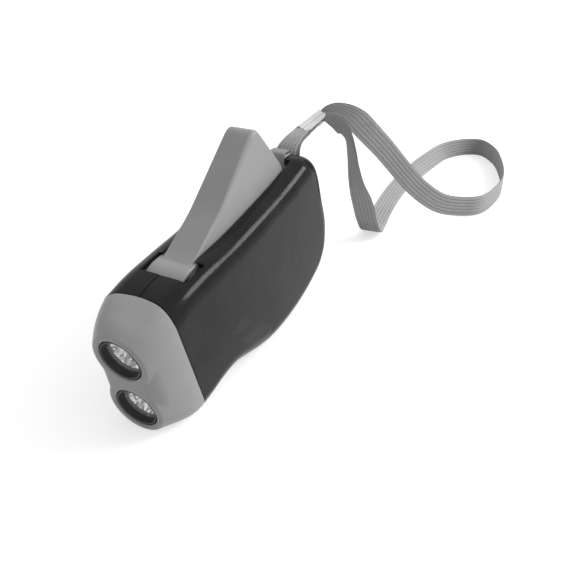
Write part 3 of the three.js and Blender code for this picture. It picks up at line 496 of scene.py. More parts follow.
# Smooth curve through points, evenly spread between them
def smoothCurve(knots, steps):
    p = np.array(knots, float)
    q = np.vstack([2 * p[0] - p[1], p, 2 * p[-1] - p[-2]])
    out = []
    for i in range(1, len(q) - 2):
        a, b, c, d = q[i - 1:i + 3]
        s0, s1, s2 = (np.linalg.norm(v) ** 0.5 for v in (b - a, c - b, d - c))
        t1 = ((b - a) / s0 - (c - a) / (s0 + s1) + (c - b) / s1) * s1
        t2 = ((c - b) / s1 - (d - b) / (s1 + s2) + (d - c) / s2) * s1
        for k in range(steps):
            t = k / steps
            bend = -3 * b + 3 * c - 2 * t1 - t2
            out.append(b + t1 * t + bend * t * t + (2 * b - 2 * c + t1 + t2) * t ** 3)
    out.append(p[-1])
    return np.array(out)


# Moves a closed profile inwards, by one distance or by one for each point
def inset(profile, distance):
    p = np.array(profile, float)
    before = p - np.roll(p, 1, axis=0)
    after = np.roll(p, -1, axis=0) - p
    before /= np.linalg.norm(before, axis=1)[:, None]
    after /= np.linalg.norm(after, axis=1)[:, None]
    scale = np.asarray(distance) / (1 + (before * after).sum(1))
    area = (p[:, 0] * np.roll(p[:, 1], -1) - np.roll(p[:, 0], -1) * p[:, 1]).sum()
    sign = -1 if area < 0 else 1
    both = before + after
    return p + sign * np.stack([-both[:, 1], both[:, 0]], 1) * np.reshape(scale, (-1, 1))


# Rounds the corners of a profile
def rounded(profile, radius, steps=5):
    p = np.array(profile, float)
    sizes = np.broadcast_to(radius, len(p))
    out = []
    for i, corner in enumerate(p):
        back, on = p[i - 1] - corner, p[(i + 1) % len(p)] - corner
        reach = min(sizes[i], 0.45 * np.linalg.norm(back), 0.45 * np.linalg.norm(on))
        start = corner + back / np.linalg.norm(back) * reach
        end = corner + on / np.linalg.norm(on) * reach
        for k in range(steps + 1):
            t = k / steps
            out.append((1 - t) ** 2 * start + 2 * t * (1 - t) * corner + t * t * end)
    return np.array(out)


# Plate along X between two sides, with a soft edge whose width may change round the profile
def plate(profile, start, end, edge, steps, power=2.0):
    width = np.broadcast_to(edge, len(profile))
    rings = []
    for side in (0, 1):
        for k in range(steps + 1):
            angle = (k if side == 0 else steps - k) / steps * math.pi / 2
            u = math.cos(angle) ** (2 / power) if k != (steps if side == 0 else 0) else 0
            v = math.sin(angle) ** (2 / power)
            ring = inset(profile, width * (1 - v))
            off = width * (1 - u)
            xs = start + off if side == 0 else end - off
            rings.append([(x, y, z) for x, (y, z) in zip(xs, ring)])
    return outward(skin(rings))


# CAD nodes that stay, finish by finish
stayLooks = {
    "turned": "lever_pin first_gear_axle second_gear_axle rotor_shaft flywheel strap_pin",
    "nylon": "first_gear second_gear", "spring": "return_spring cell_clip",
    "board": "power_board led_board", "magnet": "rotor_magnet", "core": "stator_core",
    "bobbin": "coil_bobbin", "copper": "coil_winding", "wire": "coil_leads",
    "can": "storage_cell", "chip": "bridge_rectifier", "red": "lamp_lead_red",
    "dark": "lamp_lead_black",
}
for look, nodeNames in stayLooks.items():
    for nodeName in nodeNames.split():
        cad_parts[nodeName].material_slots[0].material = finishes[look]
print("CAD nodes dressed, finishes:", len(stayLooks))


# Side outline of the torch, in shares of its length and of the housing's height
torch = {
    "length": 104.4, "height": 55, "half": 12, "round": 6, "wall": 1.6, "gap": 0.3,
    "barrel": 8.3, "spacing": 18.2, "neck": 6.6, "noseDown": 12 * deg, "flare": 13,
    "seamFoot": 22.1, "seamCrown": 2.6, "seamTilt": 18 * deg,
    "top": [
        (0.024, 0.654), (0.068, 0.69), (0.115, 0.723), (0.18, 0.757), (0.294, 0.789),
        (0.41, 0.816), (0.521, 0.853), (0.697, 0.924), (0.783, 0.969), (0.83, 0.995),
        (0.868, 0.99), (0.9, 0.955),
    ],
    "tail": [
        (0.926, 0.883), (0.966, 0.68), (0.992, 0.545), (1, 0.418), (0.99, 0.3), (0.951, 0.191),
    ],
    "bottom": [
        (0.879, 0.109), (0.797, 0.05), (0.687, 0.004), (0.592, -0.008), (0.515, 0.008),
        (0.453, 0.034), (0.381, 0.058), (0.313, 0.044), (0.256, 0.016), (0.208, -0.001),
        (0.16, -0.006),
    ],
}
middle = torch["length"] / 2


def placed(share):
    return np.array([share[0] * torch["length"] - middle, share[1] * torch["height"]])


sine, cosine = math.sin(torch["noseDown"]), math.cos(torch["noseDown"])
lampCentre = np.array([
    torch["barrel"] * sine - middle, (torch["spacing"] + torch["barrel"]) * cosine,
])


def fromLamps(x, y, z):
    return (x, lampCentre[0] + y * cosine - z * sine, lampCentre[1] + y * sine + z * cosine)


def toLamps(points):
    d = points - lampCentre
    return np.stack([d[:, 0] * cosine + d[:, 1] * sine, d[:, 1] * cosine - d[:, 0] * sine], 1)


outline = smoothCurve(
    [fromLamps(0, 0, torch["barrel"])[1:]]
    + [placed(share) for share in torch["top"] + torch["tail"] + torch["bottom"]]
    + [fromLamps(0, 0, -torch["spacing"] - torch["barrel"])[1:]], 10,
)
lampOutline = toLamps(outline)


# Highest and lowest point of an outline at one distance
def heightsAt(points, along):
    a, b = points[:-1], points[1:]
    hit = ((a[:, 0] - along) * (b[:, 0] - along) <= 0) & (a[:, 0] != b[:, 0])
    a, b = a[hit], b[hit]
    heights = a[:, 1] + (b[:, 1] - a[:, 1]) * (along - a[:, 0]) / (b[:, 0] - a[:, 0])
    return heights.max(), heights.min()


hinge = placed((0.246, 0.6))
strapPin = placed((0.897, 0.884))


# Everything in front of the head seam, which is tilted and bowed
def seamSkin(gap):
    reach = torch["half"] + 2
    plan = [(-reach, -middle)] + [
        (x, gap + torch["seamCrown"] * (1 - (x / torch["half"]) ** 2))
        for x in np.linspace(-reach, reach, 29)
    ] + [(reach, -middle)]
    foot, tilt = torch["seamFoot"] - middle, torch["seamTilt"]
    s, c = math.sin(tilt), math.cos(tilt)
    return skin([[(x, foot + y * c - z * s, y * s + z * c) for x, y in plan] for z in (-30, 90)])


print("outline drawn")


# Strap: the free webbing leaves one barrel of the crimp and comes back into the other
strap = {
    "width": 9, "thickness": 0.9, "ribs": 6, "ribHeight": 0.13,
    "gather": (0.32, 0.42, 0.62, 0.86, 1),  # share of its width, row by row from each end
    # x, y, z of its middle and the lean of its width from level, in degrees
    "route": [
        (4.5, 59.9, 63.1, 57), (6.0, 60.2, 64.2, 60), (8.1, 61.3, 64.7, 59),
        (10.7, 64.0, 63.6, 44), (12.3, 68.7, 60.6, 34), (12.2, 76.9, 55.5, 41),
        (12.1, 89.5, 47.5, 47), (12.7, 102.7, 38.5, 53), (14.4, 111.3, 31.0, 66),
        (17.5, 116.5, 24.5, 80), (23.0, 122.8, 16.0, 90), (30.6, 129.9, 8.7, 90),
        (38.3, 137.8, 5.6, 90), (45.1, 145.4, 4.8, 90), (48.3, 161.4, 4.6, 90),
        (47.7, 178.8, 4.6, 90), (41.5, 201.6, 4.6, 90), (33.7, 219.1, 4.6, 90),
        (24.2, 228.6, 4.6, 90), (16.5, 225.6, 4.6, 88), (8.4, 214.1, 4.4, 70),
        (5.1, 197.4, 3.8, 50), (2.7, 179.7, 2.6, 28), (1.4, 160.7, 1.4, 10),
        (2.6, 143.1, 1.0, 3), (5.2, 124.3, 0.9, 0), (7.8, 110.3, 1.0, 0), (9.9, 99.4, 3.5, 0),
        (9.3, 95.8, 9.0, -4), (10.5, 88.3, 18.0, -1), (12.0, 79.3, 28.0, 14),
        (13.8, 70.2, 37.5, 42), (15.8, 61.4, 47.5, 53), (16.7, 55.5, 55.5, 36),
        (14.9, 53.9, 60.2, -60), (11.5, 54.9, 62.2, -91), (8.0, 56.7, 62.6, -100),
        (5.9, 58.3, 62.5, -100),
    ],
}


# Section of the webbing at a width of 1: ribs on both faces, round borders
def ribbonSection():
    steps = strap["ribs"] * 5
    face = []
    for i in range(steps + 1):
        u = i / steps
        swell = abs(math.sin(math.pi * u * strap["ribs"])) ** 0.7
        border = min(1, 5 * u, 5 * (1 - u)) ** 0.5
        half = strap["thickness"] / 2 - strap["ribHeight"] * (1 - swell)
        face.append((u, u - 0.5, half * (0.55 + 0.45 * border)))
    return face + [(u, a, -h) for u, a, h in reversed(face)]


# Unit directions along a line of points, and the way run to each of them
def headings(line):
    ahead = np.vstack([line[1:], line[-1:]]) - np.vstack([line[:1], line[:-1]])
    return ahead / np.linalg.norm(ahead, axis=1)[:, None]


def runsOf(line):
    return np.append(0, np.cumsum(np.linalg.norm(np.diff(line, axis=0), axis=1)))


def ribbonPiece(name, middles, acrosses, widths, look):
    section = ribbonSection()
    outs = np.cross(headings(middles), acrosses)
    outs /= np.linalg.norm(outs, axis=1)[:, None]
    points, faces = skin([
        [point + across * a * width + out * h for _, a, h in section]
        for point, across, out, width in zip(middles, acrosses, outs, widths)
    ])
    runs, count = runsOf(middles), len(section)
    uv = [[(section[i % count][0], runs[i // count]) for i in face] for face in faces]
    return newPiece(name, points, faces, [look], "body", sharp=60, ribbonMap=uv)


# Running mean down a table
def softened(table, window):
    ends = [table[:1]] * window + [table] + [table[-1:]] * window
    sums = np.cumsum(np.vstack(ends), axis=0)
    low, high = window - window // 2 - 1, window + window // 2 - 1
    return (sums[high:high + len(table)] - sums[low:low + len(table)]) / (high - low)


def makeStrap():
    rows = np.array(strap["route"], float)
    steps = 12
    path = smoothCurve(rows[:, :3], steps)
    last = len(rows) - 1
    ahead = headings(path)
    leans = []
    for row in range(last + 1):
        d, lean = ahead[row * steps], rows[row, 3] * deg
        level = np.array([d[1], -d[0], 0]) / math.hypot(d[0], d[1])
        side = level * math.cos(lean) + np.cross(level, d) * math.sin(lean)
        leans.append(side if not leans or side @ leans[-1] > 0 else -side)
    at = np.arange(len(path)) / steps
    near = np.minimum(at, last - at)
    table = np.column_stack(
        [np.interp(at, range(last + 1), [side[k] for side in leans]) for k in range(3)]
        + [np.interp(near, range(5), strap["gather"])]
    )
    table = softened(table, 2 * steps - 4)
    acrosses = table[:, :3] - ahead * (table[:, :3] * ahead).sum(1)[:, None]
    acrosses /= np.linalg.norm(acrosses, axis=1)[:, None]
    widths = strap["width"] * table[:, 3]
    webbing = ribbonPiece("strap_webbing", path, acrosses, widths, "ribbon")
    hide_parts("wrist_strap")
    return webbing, path[::3], float(runsOf(path)[-1])


# Anchor loop: one length of the webbing round the pin and back, both ends in the crimp
anchor = {
    "width": 8, "top": 5.6, "narrowFrom": 53, "pin": 1.0, "gap": 0.3, "apart": 0.08,
    "spine": [(93.9 - middle, 54), (96.6 - middle, 57)],
    "foot": (1, 103.8 - middle, 58.8), "aim": (4.6, 111.3 - middle, 62.6),  # axis of the crimp
}


def makeAnchor():
    foot = anchor["foot"]
    spine = smoothCurve([strapPin, *anchor["spine"], foot[1:]], 8)
    half = strap["thickness"] / 2 + anchor["apart"]
    radius = anchor["pin"] + anchor["gap"]
    ahead = headings(spine)
    share = np.linspace(0, 1, len(spine))[:, None]
    apart = half + radius * np.maximum(1 - 1.6 * share, 0)
    beside = np.column_stack([-ahead[:, 1], ahead[:, 0]]) * apart
    turn = math.atan2(ahead[0, 1], ahead[0, 0])
    under = [
        strapPin + (radius + half) * np.array([math.cos(a), math.sin(a)])
        for a in np.linspace(turn + math.pi / 2, turn + 1.5 * math.pi, 14)[1:-1]
    ]
    line = np.vstack([(spine + beside)[::-1], under, spine - beside])
    middles = np.column_stack([np.zeros(len(line)), line])
    low = anchor["narrowFrom"]
    heights = np.clip((middles[:, 2] - low) / (foot[2] - low), 0, 1)
    widths = anchor["width"] + (anchor["top"] - anchor["width"]) * heights ** 1.5
    middles[:, 0] = foot[0] * heights ** 2
    across = [np.array([1.0, 0, 0])] * len(middles)
    piece = ribbonPiece("anchor_webbing", middles, across, widths, "anchor")
    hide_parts("strap_loop")
    return runsOf(middles)[-1]


# Crimp: two barrels of sheet metal rolled side by side, flared a little at the ends
crimp = {
    "radius": 1.42, "length": 10.2, "start": -0.6, "wall": 0.32, "apart": 1.27, "flare": 0.12,
    "lip": 0.1, "pinch": 0.1,
    "rings": (0, 0.015, 0.05, 0.12, 0.3, 0.42, 0.5, 0.58, 0.7, 0.88, 0.95, 0.985, 1),
}


def makeCrimp():
    foot, aim = np.array(anchor["foot"]), np.array(anchor["aim"])
    along = (aim - foot) / np.linalg.norm(aim - foot)
    across = np.array([1.0, 0, 0]) - along * along[0]
    across /= np.linalg.norm(across)
    up = np.cross(across, along)
    skins = []
    for side in (-1, 1):
        centre = foot + across * side * crimp["apart"]
        profile = []
        for share in crimp["rings"]:
            edge = max(0, 1 - min(share, 1 - share) / 0.06)
            pinch = max(0, 1 - abs(share - 0.5) / 0.16)
            lip = crimp["lip"] if share in (0, 1) else 0
            r = crimp["radius"] + crimp["flare"] * edge - crimp["pinch"] * pinch - lip
            profile.append((r, share * crimp["length"] + crimp["start"]))
        inner = [(r - crimp["wall"], y) for r, y in profile[::-1]]
        turn = lambda a, b, y: centre + along * y + across * a + up * b
        skins.append(outward(lathe(profile + inner, 36, turn)))
    piece = newPiece("crimp_sleeve", *joinSkins(*skins), ["crimp"], "body", sharp=40)
    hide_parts("strap_crimp")
    return piece


webbing, webbingLine, webbingLength = makeStrap()
anchorLength = makeAnchor()
crimpPiece = makeCrimp()
print("strap made, mm:", round(webbingLength), "and anchor", round(anchorLength))


# Housing: outer and inner form, openings on top, seam in front, then two halves
housing = {
    "edgeSteps": 9, "reach": 59, "play": 0.5, "slotHalf": 5.5, "coverHalf": 6.6,
    "coverRadius": 11, "coverFront": 4.7, "coverBack": 10.5, "catchHalf": 3.3, "catchGap": 1,
    "catchLength": 3.8, "strapHalf": 4.3, "strapRoom": 2.5, "parting": 0.15,
    "recessRun": (-4.9, 4), "recess": [(0, 5.5), (6.63, 5.5), (16.2, 25.5), (0, 25.5)],
}


# The housing's outline runs on past the seam, where its front is cut off
def onward(end, inner):
    return end + (end - inner) / np.linalg.norm(end - inner) * 12


bodyOutline = np.vstack([
    onward(outline[0], outline[1]), outline, onward(outline[-1], outline[-2]),
])


def bodySkin(distance):
    radius = torch["round"] - distance
    flat = torch["half"] - torch["round"]
    rings = []
    steps = housing["edgeSteps"]
    for i in range(-steps, steps + 1):
        angle = (steps - abs(i)) / steps * math.pi / 2
        ring = inset(bodyOutline, distance + radius * (1 - math.sin(angle)))
        xs = (-flat, flat) if i == 0 else (math.copysign(flat + radius * math.cos(angle), i),)
        rings += [[(x, y, z) for y, z in ring] for x in xs]
    return outward(skin(rings))


# Room on top for lever, cover, catch and strap, from the hinge upwards
def housingOpenings():
    slotEnd = hinge[0] + housing["reach"] + housing["play"]
    catchEnd = slotEnd + housing["catchGap"] + housing["catchLength"] + 0.3
    cover, slot, catch = housing["coverHalf"], housing["slotHalf"], housing["catchHalf"]
    front, back, radius = housing["coverFront"], housing["coverBack"], housing["coverRadius"]
    span = np.linspace(math.acos(back / radius), math.acos(-front / radius), 40)
    arc = [(radius * math.cos(a), radius * math.sin(a)) for a in span]
    room = [(back, 0)] + arc + [(-front, 0)]
    side, strapRoom, sky = housing["strapHalf"], housing["strapRoom"], 120
    y, z = strapPin
    return [
        blockSkin((-slot, hinge[0], hinge[1]), (slot, slotEnd, sky)),
        skin([[(x, hinge[0] + y, hinge[1] + z) for y, z in room] for x in (-cover, cover)]),
        blockSkin((-cover, hinge[0] - front, hinge[1] + 0.02), (cover, hinge[0], sky + 1)),
        skin([[(x, y + hinge[0], z + hinge[1]) for x, z in housing["recess"]]
              for y in housing["recessRun"]]),
        blockSkin((-catch, slotEnd - 2, hinge[1] + 0.01), (catch, catchEnd, sky + 1)),
        blockSkin((-side, y - strapRoom, z - strapRoom), (side, y + strapRoom, sky + 2)),
    ]


# Screws with a cross recess, their heads sunk in the far half
screws = {
    "places": {"front": (0.264, 0.165), "tail": (0.887, 0.682), "heel": (0.916, 0.255)},
    "sink": 2.4, "sinkEnd": -10.5, "face": -11.7, "crossHalf": (1.25, 0.2),
    "head": [(0.05, 0), (1.5, 0.03), (1.9, 0.15), (2.1, 0.4), (2.1, 1.2), (1.1, 1.2)],
    "shank": [(1.1, 4.6), (0.75, 5.2), (0.1, 5.2)],
}


def makeHousing():
    for side, name, node in (
        (-1, "housing_left", "left_shell"), (1, "housing_right", "right_shell"),
    ):
        shell = newPiece(name, *bodySkin(0), ["smokeOut", "smokeIn"])
        points, faces = bodySkin(torch["wall"])
        inner = newPiece("inner", points, faces, ["smokeOut", "smokeIn"], sides=[1] * len(faces))
        near, far = sorted((side * housing["parting"], side * 30))
        steps = [("DIFFERENCE", inner)] + [cut(made) for made in housingOpenings()]
        steps += [keep(blockSkin((near, -60, 0), (far, 60, 110))), cut(seamSkin(torch["gap"]))]
        if side < 0:
            steps += [
                cut(barSkin(placed(place), screws["sink"], -20, screws["sinkEnd"], 40))
                for place in screws["places"].values()
            ]
        carve(shell, *steps, sharp=32)
        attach(shell, "body")
        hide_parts(node)


makeHousing()
print("housing made")


# Head: two barrels in front that flow into the housing's section at the seam
head = {
    "rimEdge": 0.9, "faceWall": 2.2, "bore": 6.65, "boreEdge": 0.35, "rings": 34, "points": 144,
    "soft": 4, "waistRun": 3.5,
}


# One ring of the head: a figure of two lamps near the face, a rounded box at the seam
def headRing(y, distance, flare):
    top, bottom = torch["barrel"], -torch["spacing"] - torch["barrel"]
    if y > 0:
        top, bottom = heightsAt(lampOutline, y)
    tall, wide = (top - bottom) / 2 - distance, torch["half"] - distance
    radius = torch["barrel"] - distance
    offset = tall - radius
    corner = torch["round"] - distance
    cx, cz = wide - corner, tall - corner
    filled = math.sin(min(max(y, 0) / head["waistRun"], 1) * math.pi / 2)
    waist = torch["neck"] + (torch["barrel"] - torch["neck"]) * filled
    ring = []
    for i in range(head["points"]):
        angle = 2 * math.pi * (i + 0.5) / head["points"]
        c, s = abs(math.cos(angle)), abs(math.sin(angle))
        chord = radius ** 2 - (offset * c) ** 2
        circle = offset * s + math.sqrt(chord) if chord > 0 else 0
        neck = min((waist - distance) / c, offset)
        close = max(1 - abs(circle - neck) / head["soft"], 0)
        figure = max(circle, neck) + close * close * head["soft"] / 4
        box = min(wide / c, tall / s)
        if box * c > cx and box * s > cz:
            along = cx * c + cz * s
            box = along + math.sqrt(along ** 2 - cx ** 2 - cz ** 2 + corner ** 2)
        reach = figure + (box - figure) * flare
        x, z = reach * math.cos(angle), (top + bottom) / 2 + reach * math.sin(angle)
        ring.append(fromLamps(x, y, z))
    return ring


def headSkin(distance, start):
    length = torch["flare"] * 1.5
    rings = []
    if distance == 0:
        edge = head["rimEdge"]
        for k in range(6):
            angle = k / 6 * math.pi / 2
            y = edge * (1 - math.cos(angle)) * 0.35
            rings.append(headRing(y, edge * (1 - math.sin(angle)), 0))
        start = edge * 0.35
    for k in range(head["rings"] + 1):
        y = start + (length - start) * (k / head["rings"]) ** 1.3
        share = min(y / torch["flare"], 1)
        rings.append(headRing(y, distance, math.sin(share * math.pi / 2) ** 0.9))
    return outward(skin(rings))


def lampTurn(z):
    return lambda a, b, y: fromLamps(a, y, z + b)


lampHeights = {"upper": 0, "lower": -torch["spacing"]}


def makeHead():
    shell = newPiece("head_shell", *headSkin(0, 0), ["head"])
    bore, edge = head["bore"], head["boreEdge"]
    hole = [(bore + edge + 3, -3), (bore + edge, 0), (bore, edge), (bore, 5)]
    carve(
        shell, cut(headSkin(torch["wall"], head["faceWall"])),
        *[cut(turned(hole, 96, lampTurn(z))) for z in lampHeights.values()],
        keep(seamSkin(0)), keep(blockSkin((-30, -80, 0), (30, 60, 110))), sharp=30,
    )
    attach(shell, "body")
    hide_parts("head_cover")


makeHead()
print("head made")


# Lamps, from the face inwards: bezel, lens, fluted reflector and clear lamp
lamp = {
    "ring": 6.35, "ringWall": 0.5, "ringLength": 4.3, "lens": 5.55, "lensAt": 2.4,
    "lensThick": 0.9, "dome": 0.5, "reflectorAt": 3.6, "mouth": 5.3, "throat": 2.8,
    "depth": 6, "wall": 0.3, "flutes": 18, "flute": 0.17, "led": 2.5, "ledTip": 3.95,
    "ledBack": 9.9, "ledFlange": 1.2,
    "bands": [(1, 0), (0.93, 0.1), (0.8, 0.26), (0.64, 0.45), (0.44, 0.66), (0.22, 0.85), (0, 1)],
}


def makeBezel(place, turn):
    outer, wall, gap = lamp["ring"], lamp["ringWall"], torch["gap"]
    lip = [(outer - wall / 2 * (1 - math.cos(a)), gap + wall / 2 * (1 + math.sin(a)))
           for a in np.linspace(math.pi, 2 * math.pi, 7)]
    back = gap + lamp["ringLength"]
    profile = lip + [(outer, back), (outer - wall, back)]
    bezel = newPiece(place + "_bezel", *outward(lathe(profile, 72, turn)), ["black"], "body")
    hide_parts(place + "_lens_ring")


def makeLens(place, turn):
    rim, at, back = lamp["lens"], lamp["lensAt"], lamp["lensAt"] + lamp["lensThick"]
    profile = [
        (rim * s, at - lamp["dome"] * (1 - s * s)) for s in (0.02, 0.2, 0.4, 0.6, 0.8, 0.95)
    ] + [(rim, at + 0.12), (rim, back), (0.1, back)]
    glass = newPiece(place + "_window", *turned(profile, 64, turn), ["lens"], "body")
    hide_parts(place + "_lens")


def makeReflector(place, turn):
    rim, mouth, throat, at = lamp["lens"], lamp["mouth"], lamp["throat"], lamp["reflectorAt"]
    bowl = [
        (throat + (mouth - throat) * out, at + deep * lamp["depth"]) for out, deep in lamp["bands"]
    ]
    sides = lamp["flutes"] * 2
    rings = []
    for k in range(sides):
        a = 2 * math.pi * k / sides
        flute = lamp["flute"] if k % 2 else -lamp["flute"]
        line = [(rim, at)]
        for b, (r, y) in enumerate(bowl):
            line.append((r + flute * (1 if b % 2 else -1) * (0 < b < len(bowl) - 1), y))
        line += [(r + lamp["wall"] + 0.3, y) for r, y in bowl[:0:-1]]
        line.append((rim, at + lamp["wall"] + 0.2))
        rings.append([turn(r * math.cos(a), r * math.sin(a), y) for r, y in line])
    made = outward(skin(rings, looped=True))
    dish = newPiece(place + "_dish", *made, ["mirror"], "body", sharp=1)
    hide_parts(place + "_reflector")


def makeBulb(place, turn):
    radius, tip, back = lamp["led"], lamp["ledTip"], lamp["ledBack"]
    flange, wide = back - lamp["ledFlange"], radius + 0.25
    profile = [
        (radius * math.sin(a), tip + radius * (1 - math.cos(a)))
        for a in np.linspace(0.02, math.pi / 2, 10)
    ] + [(radius, flange - 0.2), (wide, flange), (wide, back), (0.1, back)]
    bulb = newPiece(place + "_lamp", *turned(profile, 40, turn), ["led"], "body")
    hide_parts(place + "_led")


def makeLamps():
    for place, z in lampHeights.items():
        for make in (makeBezel, makeLens, makeReflector, makeBulb):
            make(place, lampTurn(z))


makeLamps()
print("lamps made")


# Lever: blade with a soft thumb face, cover and web over the hinge, toothed sector
lever = {
    "reach": 59, "half": 5, "wall": 1.4,
    "profile": [
        (-0.04, 0.13), (0.0763, 0.1695), (0.3, 0.312), (0.622, 0.606), (0.645, 0.619),
        (0.667, 0.622), (0.69, 0.614), (0.713, 0.59), (0.922, 0.372), (0.94, 0.342),
        (0.942, 0.312), (0.926, 0.268), (0.6, 0.195), (0.24, 0.115), (0.07, -0.03),
    ],
    "edges": [0.5, 0.5, 0.75, 1.5, 1.5, 1.4, 1.3, 1.1, 0.9, 0.9, 0.8, 0.7, 0.6, 0.6, 0.5],
    "corners": [0.5, 8, 4, 0.8, 0.6, 0.6, 0.7, 1.2, 1.6, 1, 1, 1.6, 3, 3, 1],
    "hollow": [
        (0.12, 0.1), (0.12, 0.16), (0.3, 0.268), (0.62, 0.56), (0.67, 0.575), (0.9, 0.34),
        (0.9, 0.1),
    ],
    "cover": [(4.4, 9.5), (0.2, 9.1), (-2.1, 8.3), (-4.2, 6.9)], "coverWall": 1.5,
    "coverHalf": 6.1, "hub": 4.2, "pin": 1.65,
    # toothed sector: module and teeth of its whole wheel, and how far teeth and arm reach
    "module": 1, "teeth": 80, "firstTooth": -17 * deg, "slack": 0.12, "toothHalf": 1.4,
    "toothed": (-25 * deg, 10 * deg), "band": (35, 41), "arm": (-25 * deg, 43.5 * deg),
    "armWidth": 3.6,
}


def leverPoint(share):
    return hinge + np.array(share) * lever["reach"]


# Bent plate over the hinge, and the web that carries it from the hub
def coverSkin():
    above = [hinge + np.array(point) for point in lever["cover"]]
    below = [point - np.array([0, lever["coverWall"]]) for point in above[::-1]]
    half, corners = lever["coverHalf"], [0.3, 1.5, 1.5, 0.4] + [0.3] * 4
    return plate(rounded(above + below, corners, 3), -half, half, 0.35, 3)


def webSkin():
    edge = [hinge + np.array(point) * 0.93 for point in lever["cover"]]
    half = lever["coverHalf"] - 0.15
    return plate(np.array([hinge] + edge), -half, half, 0.2, 2)


# Whole wheel of the sector, with involute flanks
def sectorWheel():
    module, radius = lever["module"], lever["module"] * lever["teeth"] / 2
    base, tip, root = radius * math.cos(20 * deg), radius + 0.85 * module, radius - 1.15 * module

    def involute(r):
        tangent = math.sqrt(max((r / base) ** 2 - 1, 0))
        return tangent - math.atan(tangent)

    halfPitch = (math.pi * module / 2 - lever["slack"]) / 2 / radius
    halfTooth = lambda r: halfPitch + involute(radius) - involute(max(r, base))
    flank = np.linspace(root, tip, 5)
    points = []
    for i in range(lever["teeth"]):
        angle = lever["firstTooth"] + 2 * math.pi * i / lever["teeth"]
        for sign, radii in ((-1, flank), (1, flank[::-1])):
            for r in radii:
                a = angle + sign * halfTooth(r)
                points.append((hinge[0] + r * math.cos(a), hinge[1] + r * math.sin(a)))
    return np.array(points)


def arcBand(inner, outer, span, steps):
    return np.array([
        (hinge[0] + r * math.cos(a), hinge[1] + r * math.sin(a))
        for r, line in ((outer, span), (inner, span[::-1])) for a in np.linspace(*line, steps)
    ])


def makeLever():
    profile = np.array([leverPoint(share) for share in lever["profile"]])
    steps = 6
    soft = rounded(profile, lever["corners"], steps)
    edges = np.repeat(lever["edges"], steps + 1)
    half, inner, thin = lever["half"], lever["half"] - lever["wall"], lever["toothHalf"]
    blade = newPiece("lever_blade", *plate(soft, -half, half, edges, 5, 1.6), ["lever"])
    hollow = np.array([leverPoint(share) for share in lever["hollow"]])
    wedge = tool(plate(arcBand(*lever["band"], lever["toothed"], 30), -thin, thin, 0.01, 1))
    teeth = tool(plate(sectorWheel(), -thin, thin, 0.12, 1))
    step = teeth.modifiers.new("cut", "BOOLEAN")
    step.operation, step.object, step.solver = "INTERSECT", wedge, "MANIFOLD"
    root = lever["module"] * (lever["teeth"] / 2 - 1.15)
    wide = lever["coverHalf"]
    hub = barSkin(hinge, lever["hub"], -wide, wide, 64, 0.3)
    arm = arcBand(root - lever["armWidth"], root, lever["arm"], 60)
    carve(
        blade, cut(plate(rounded(hollow, 1.2, 3), -inner, inner, 0.4, 2)), add(coverSkin()),
        add(webSkin()), add(hub), ("UNION", teeth),
        add(plate(arm, -thin, thin, 0.2, 1)), cut(barSkin(hinge, lever["pin"], -9, 9, 40)),
        sharp=28,
    )
    bpy.data.objects.remove(wedge)
    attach(blade, "lever")
    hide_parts("squeeze_lever")


makeLever()
print("lever made")


# Catch: ribbed thumb piece with a flange under the housing and a tongue over the lever
catch = {
    "half": 3, "length": 3.8, "top": 56.2, "grooves": 4, "groove": 0.5, "end": 0.4,
    "flangeHalf": 4.4, "flange": 1.2, "tongueTop": 48, "tongue": 2.4,
}


def makeCatch():
    front = hinge[0] + housing["reach"] + housing["play"] + housing["catchGap"]
    back = front + catch["length"]
    roof = heightsAt(outline, front - 4.3)[0] - torch["wall"] - torch["gap"]
    top, end, thick = catch["top"], catch["end"], catch["tongue"]
    low, dip = roof - catch["flange"], top - catch["groove"]
    line = [(front, low), (front, dip), (front + end, top)]
    pitch = (catch["length"] - 2 * end) / catch["grooves"]
    for i in range(catch["grooves"]):
        y = front + end + i * pitch
        line += [(y + 0.2 * pitch, top), (y + 0.4 * pitch, dip), (y + 0.6 * pitch, dip),
                 (y + 0.8 * pitch, top)]
    line += [(back - end, top), (back, dip), (back, low)]
    half = catch["half"]
    thumb = newPiece("catch_button", *plate(np.array(line), -half, half, 0.3, 3), ["catch"])
    box = [(front, low), (front, roof), (back, roof), (back, low)]
    wide = catch["flangeHalf"]
    under = catch["tongueTop"] - thick
    hook = [(front - 2.2, under + 0.8), (front - 2.2, under + thick), (front, under + thick),
            (front, roof - 0.6), (front + thick, roof - 0.6), (front + thick, under),
            (front - 1.2, under)]
    carve(
        thumb, add(plate(rounded(np.array(box), 0.25, 2), -wide, wide, 0.2, 2)),
        add(plate(rounded(np.array(hook), 0.3, 2), -half, half, 0.2, 2)), sharp=30,
    )
    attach(thumb, "catch")
    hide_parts("lever_lock")


makeCatch()


def makeScrews():
    face, (long, short) = screws["face"], screws["crossHalf"]
    profile = [(r, face + x) for r, x in screws["head"]] + screws["shank"]
    for place, share in screws["places"].items():
        centre = placed(share)
        turn = lambda a, b, x: (x, centre[0] + a, centre[1] + b)
        screw = newPiece(place + "_screw_steel", *turned(profile, 40, turn), ["turned"])
        cuts = []
        for angle in (35 * deg, 125 * deg):
            d = np.array([math.cos(angle), math.sin(angle)])
            n = np.array([-d[1], d[0]])
            slot = [d * a + n * b
                    for a, b in ((-long, -short), (long, -short), (long, short), (-long, short))]
            cuts.append(cut(skin([
                [(x, *(centre + p * s)) for p in slot]
                for x, s in ((face - 1, 1), (face + 0.2, 1), (face + 1.0, 0.3))
            ])))
        carve(screw, *cuts, sharp=25)
        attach(screw, "body")
        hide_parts(place + "_screw")


makeScrews()
print("catch and screws made")


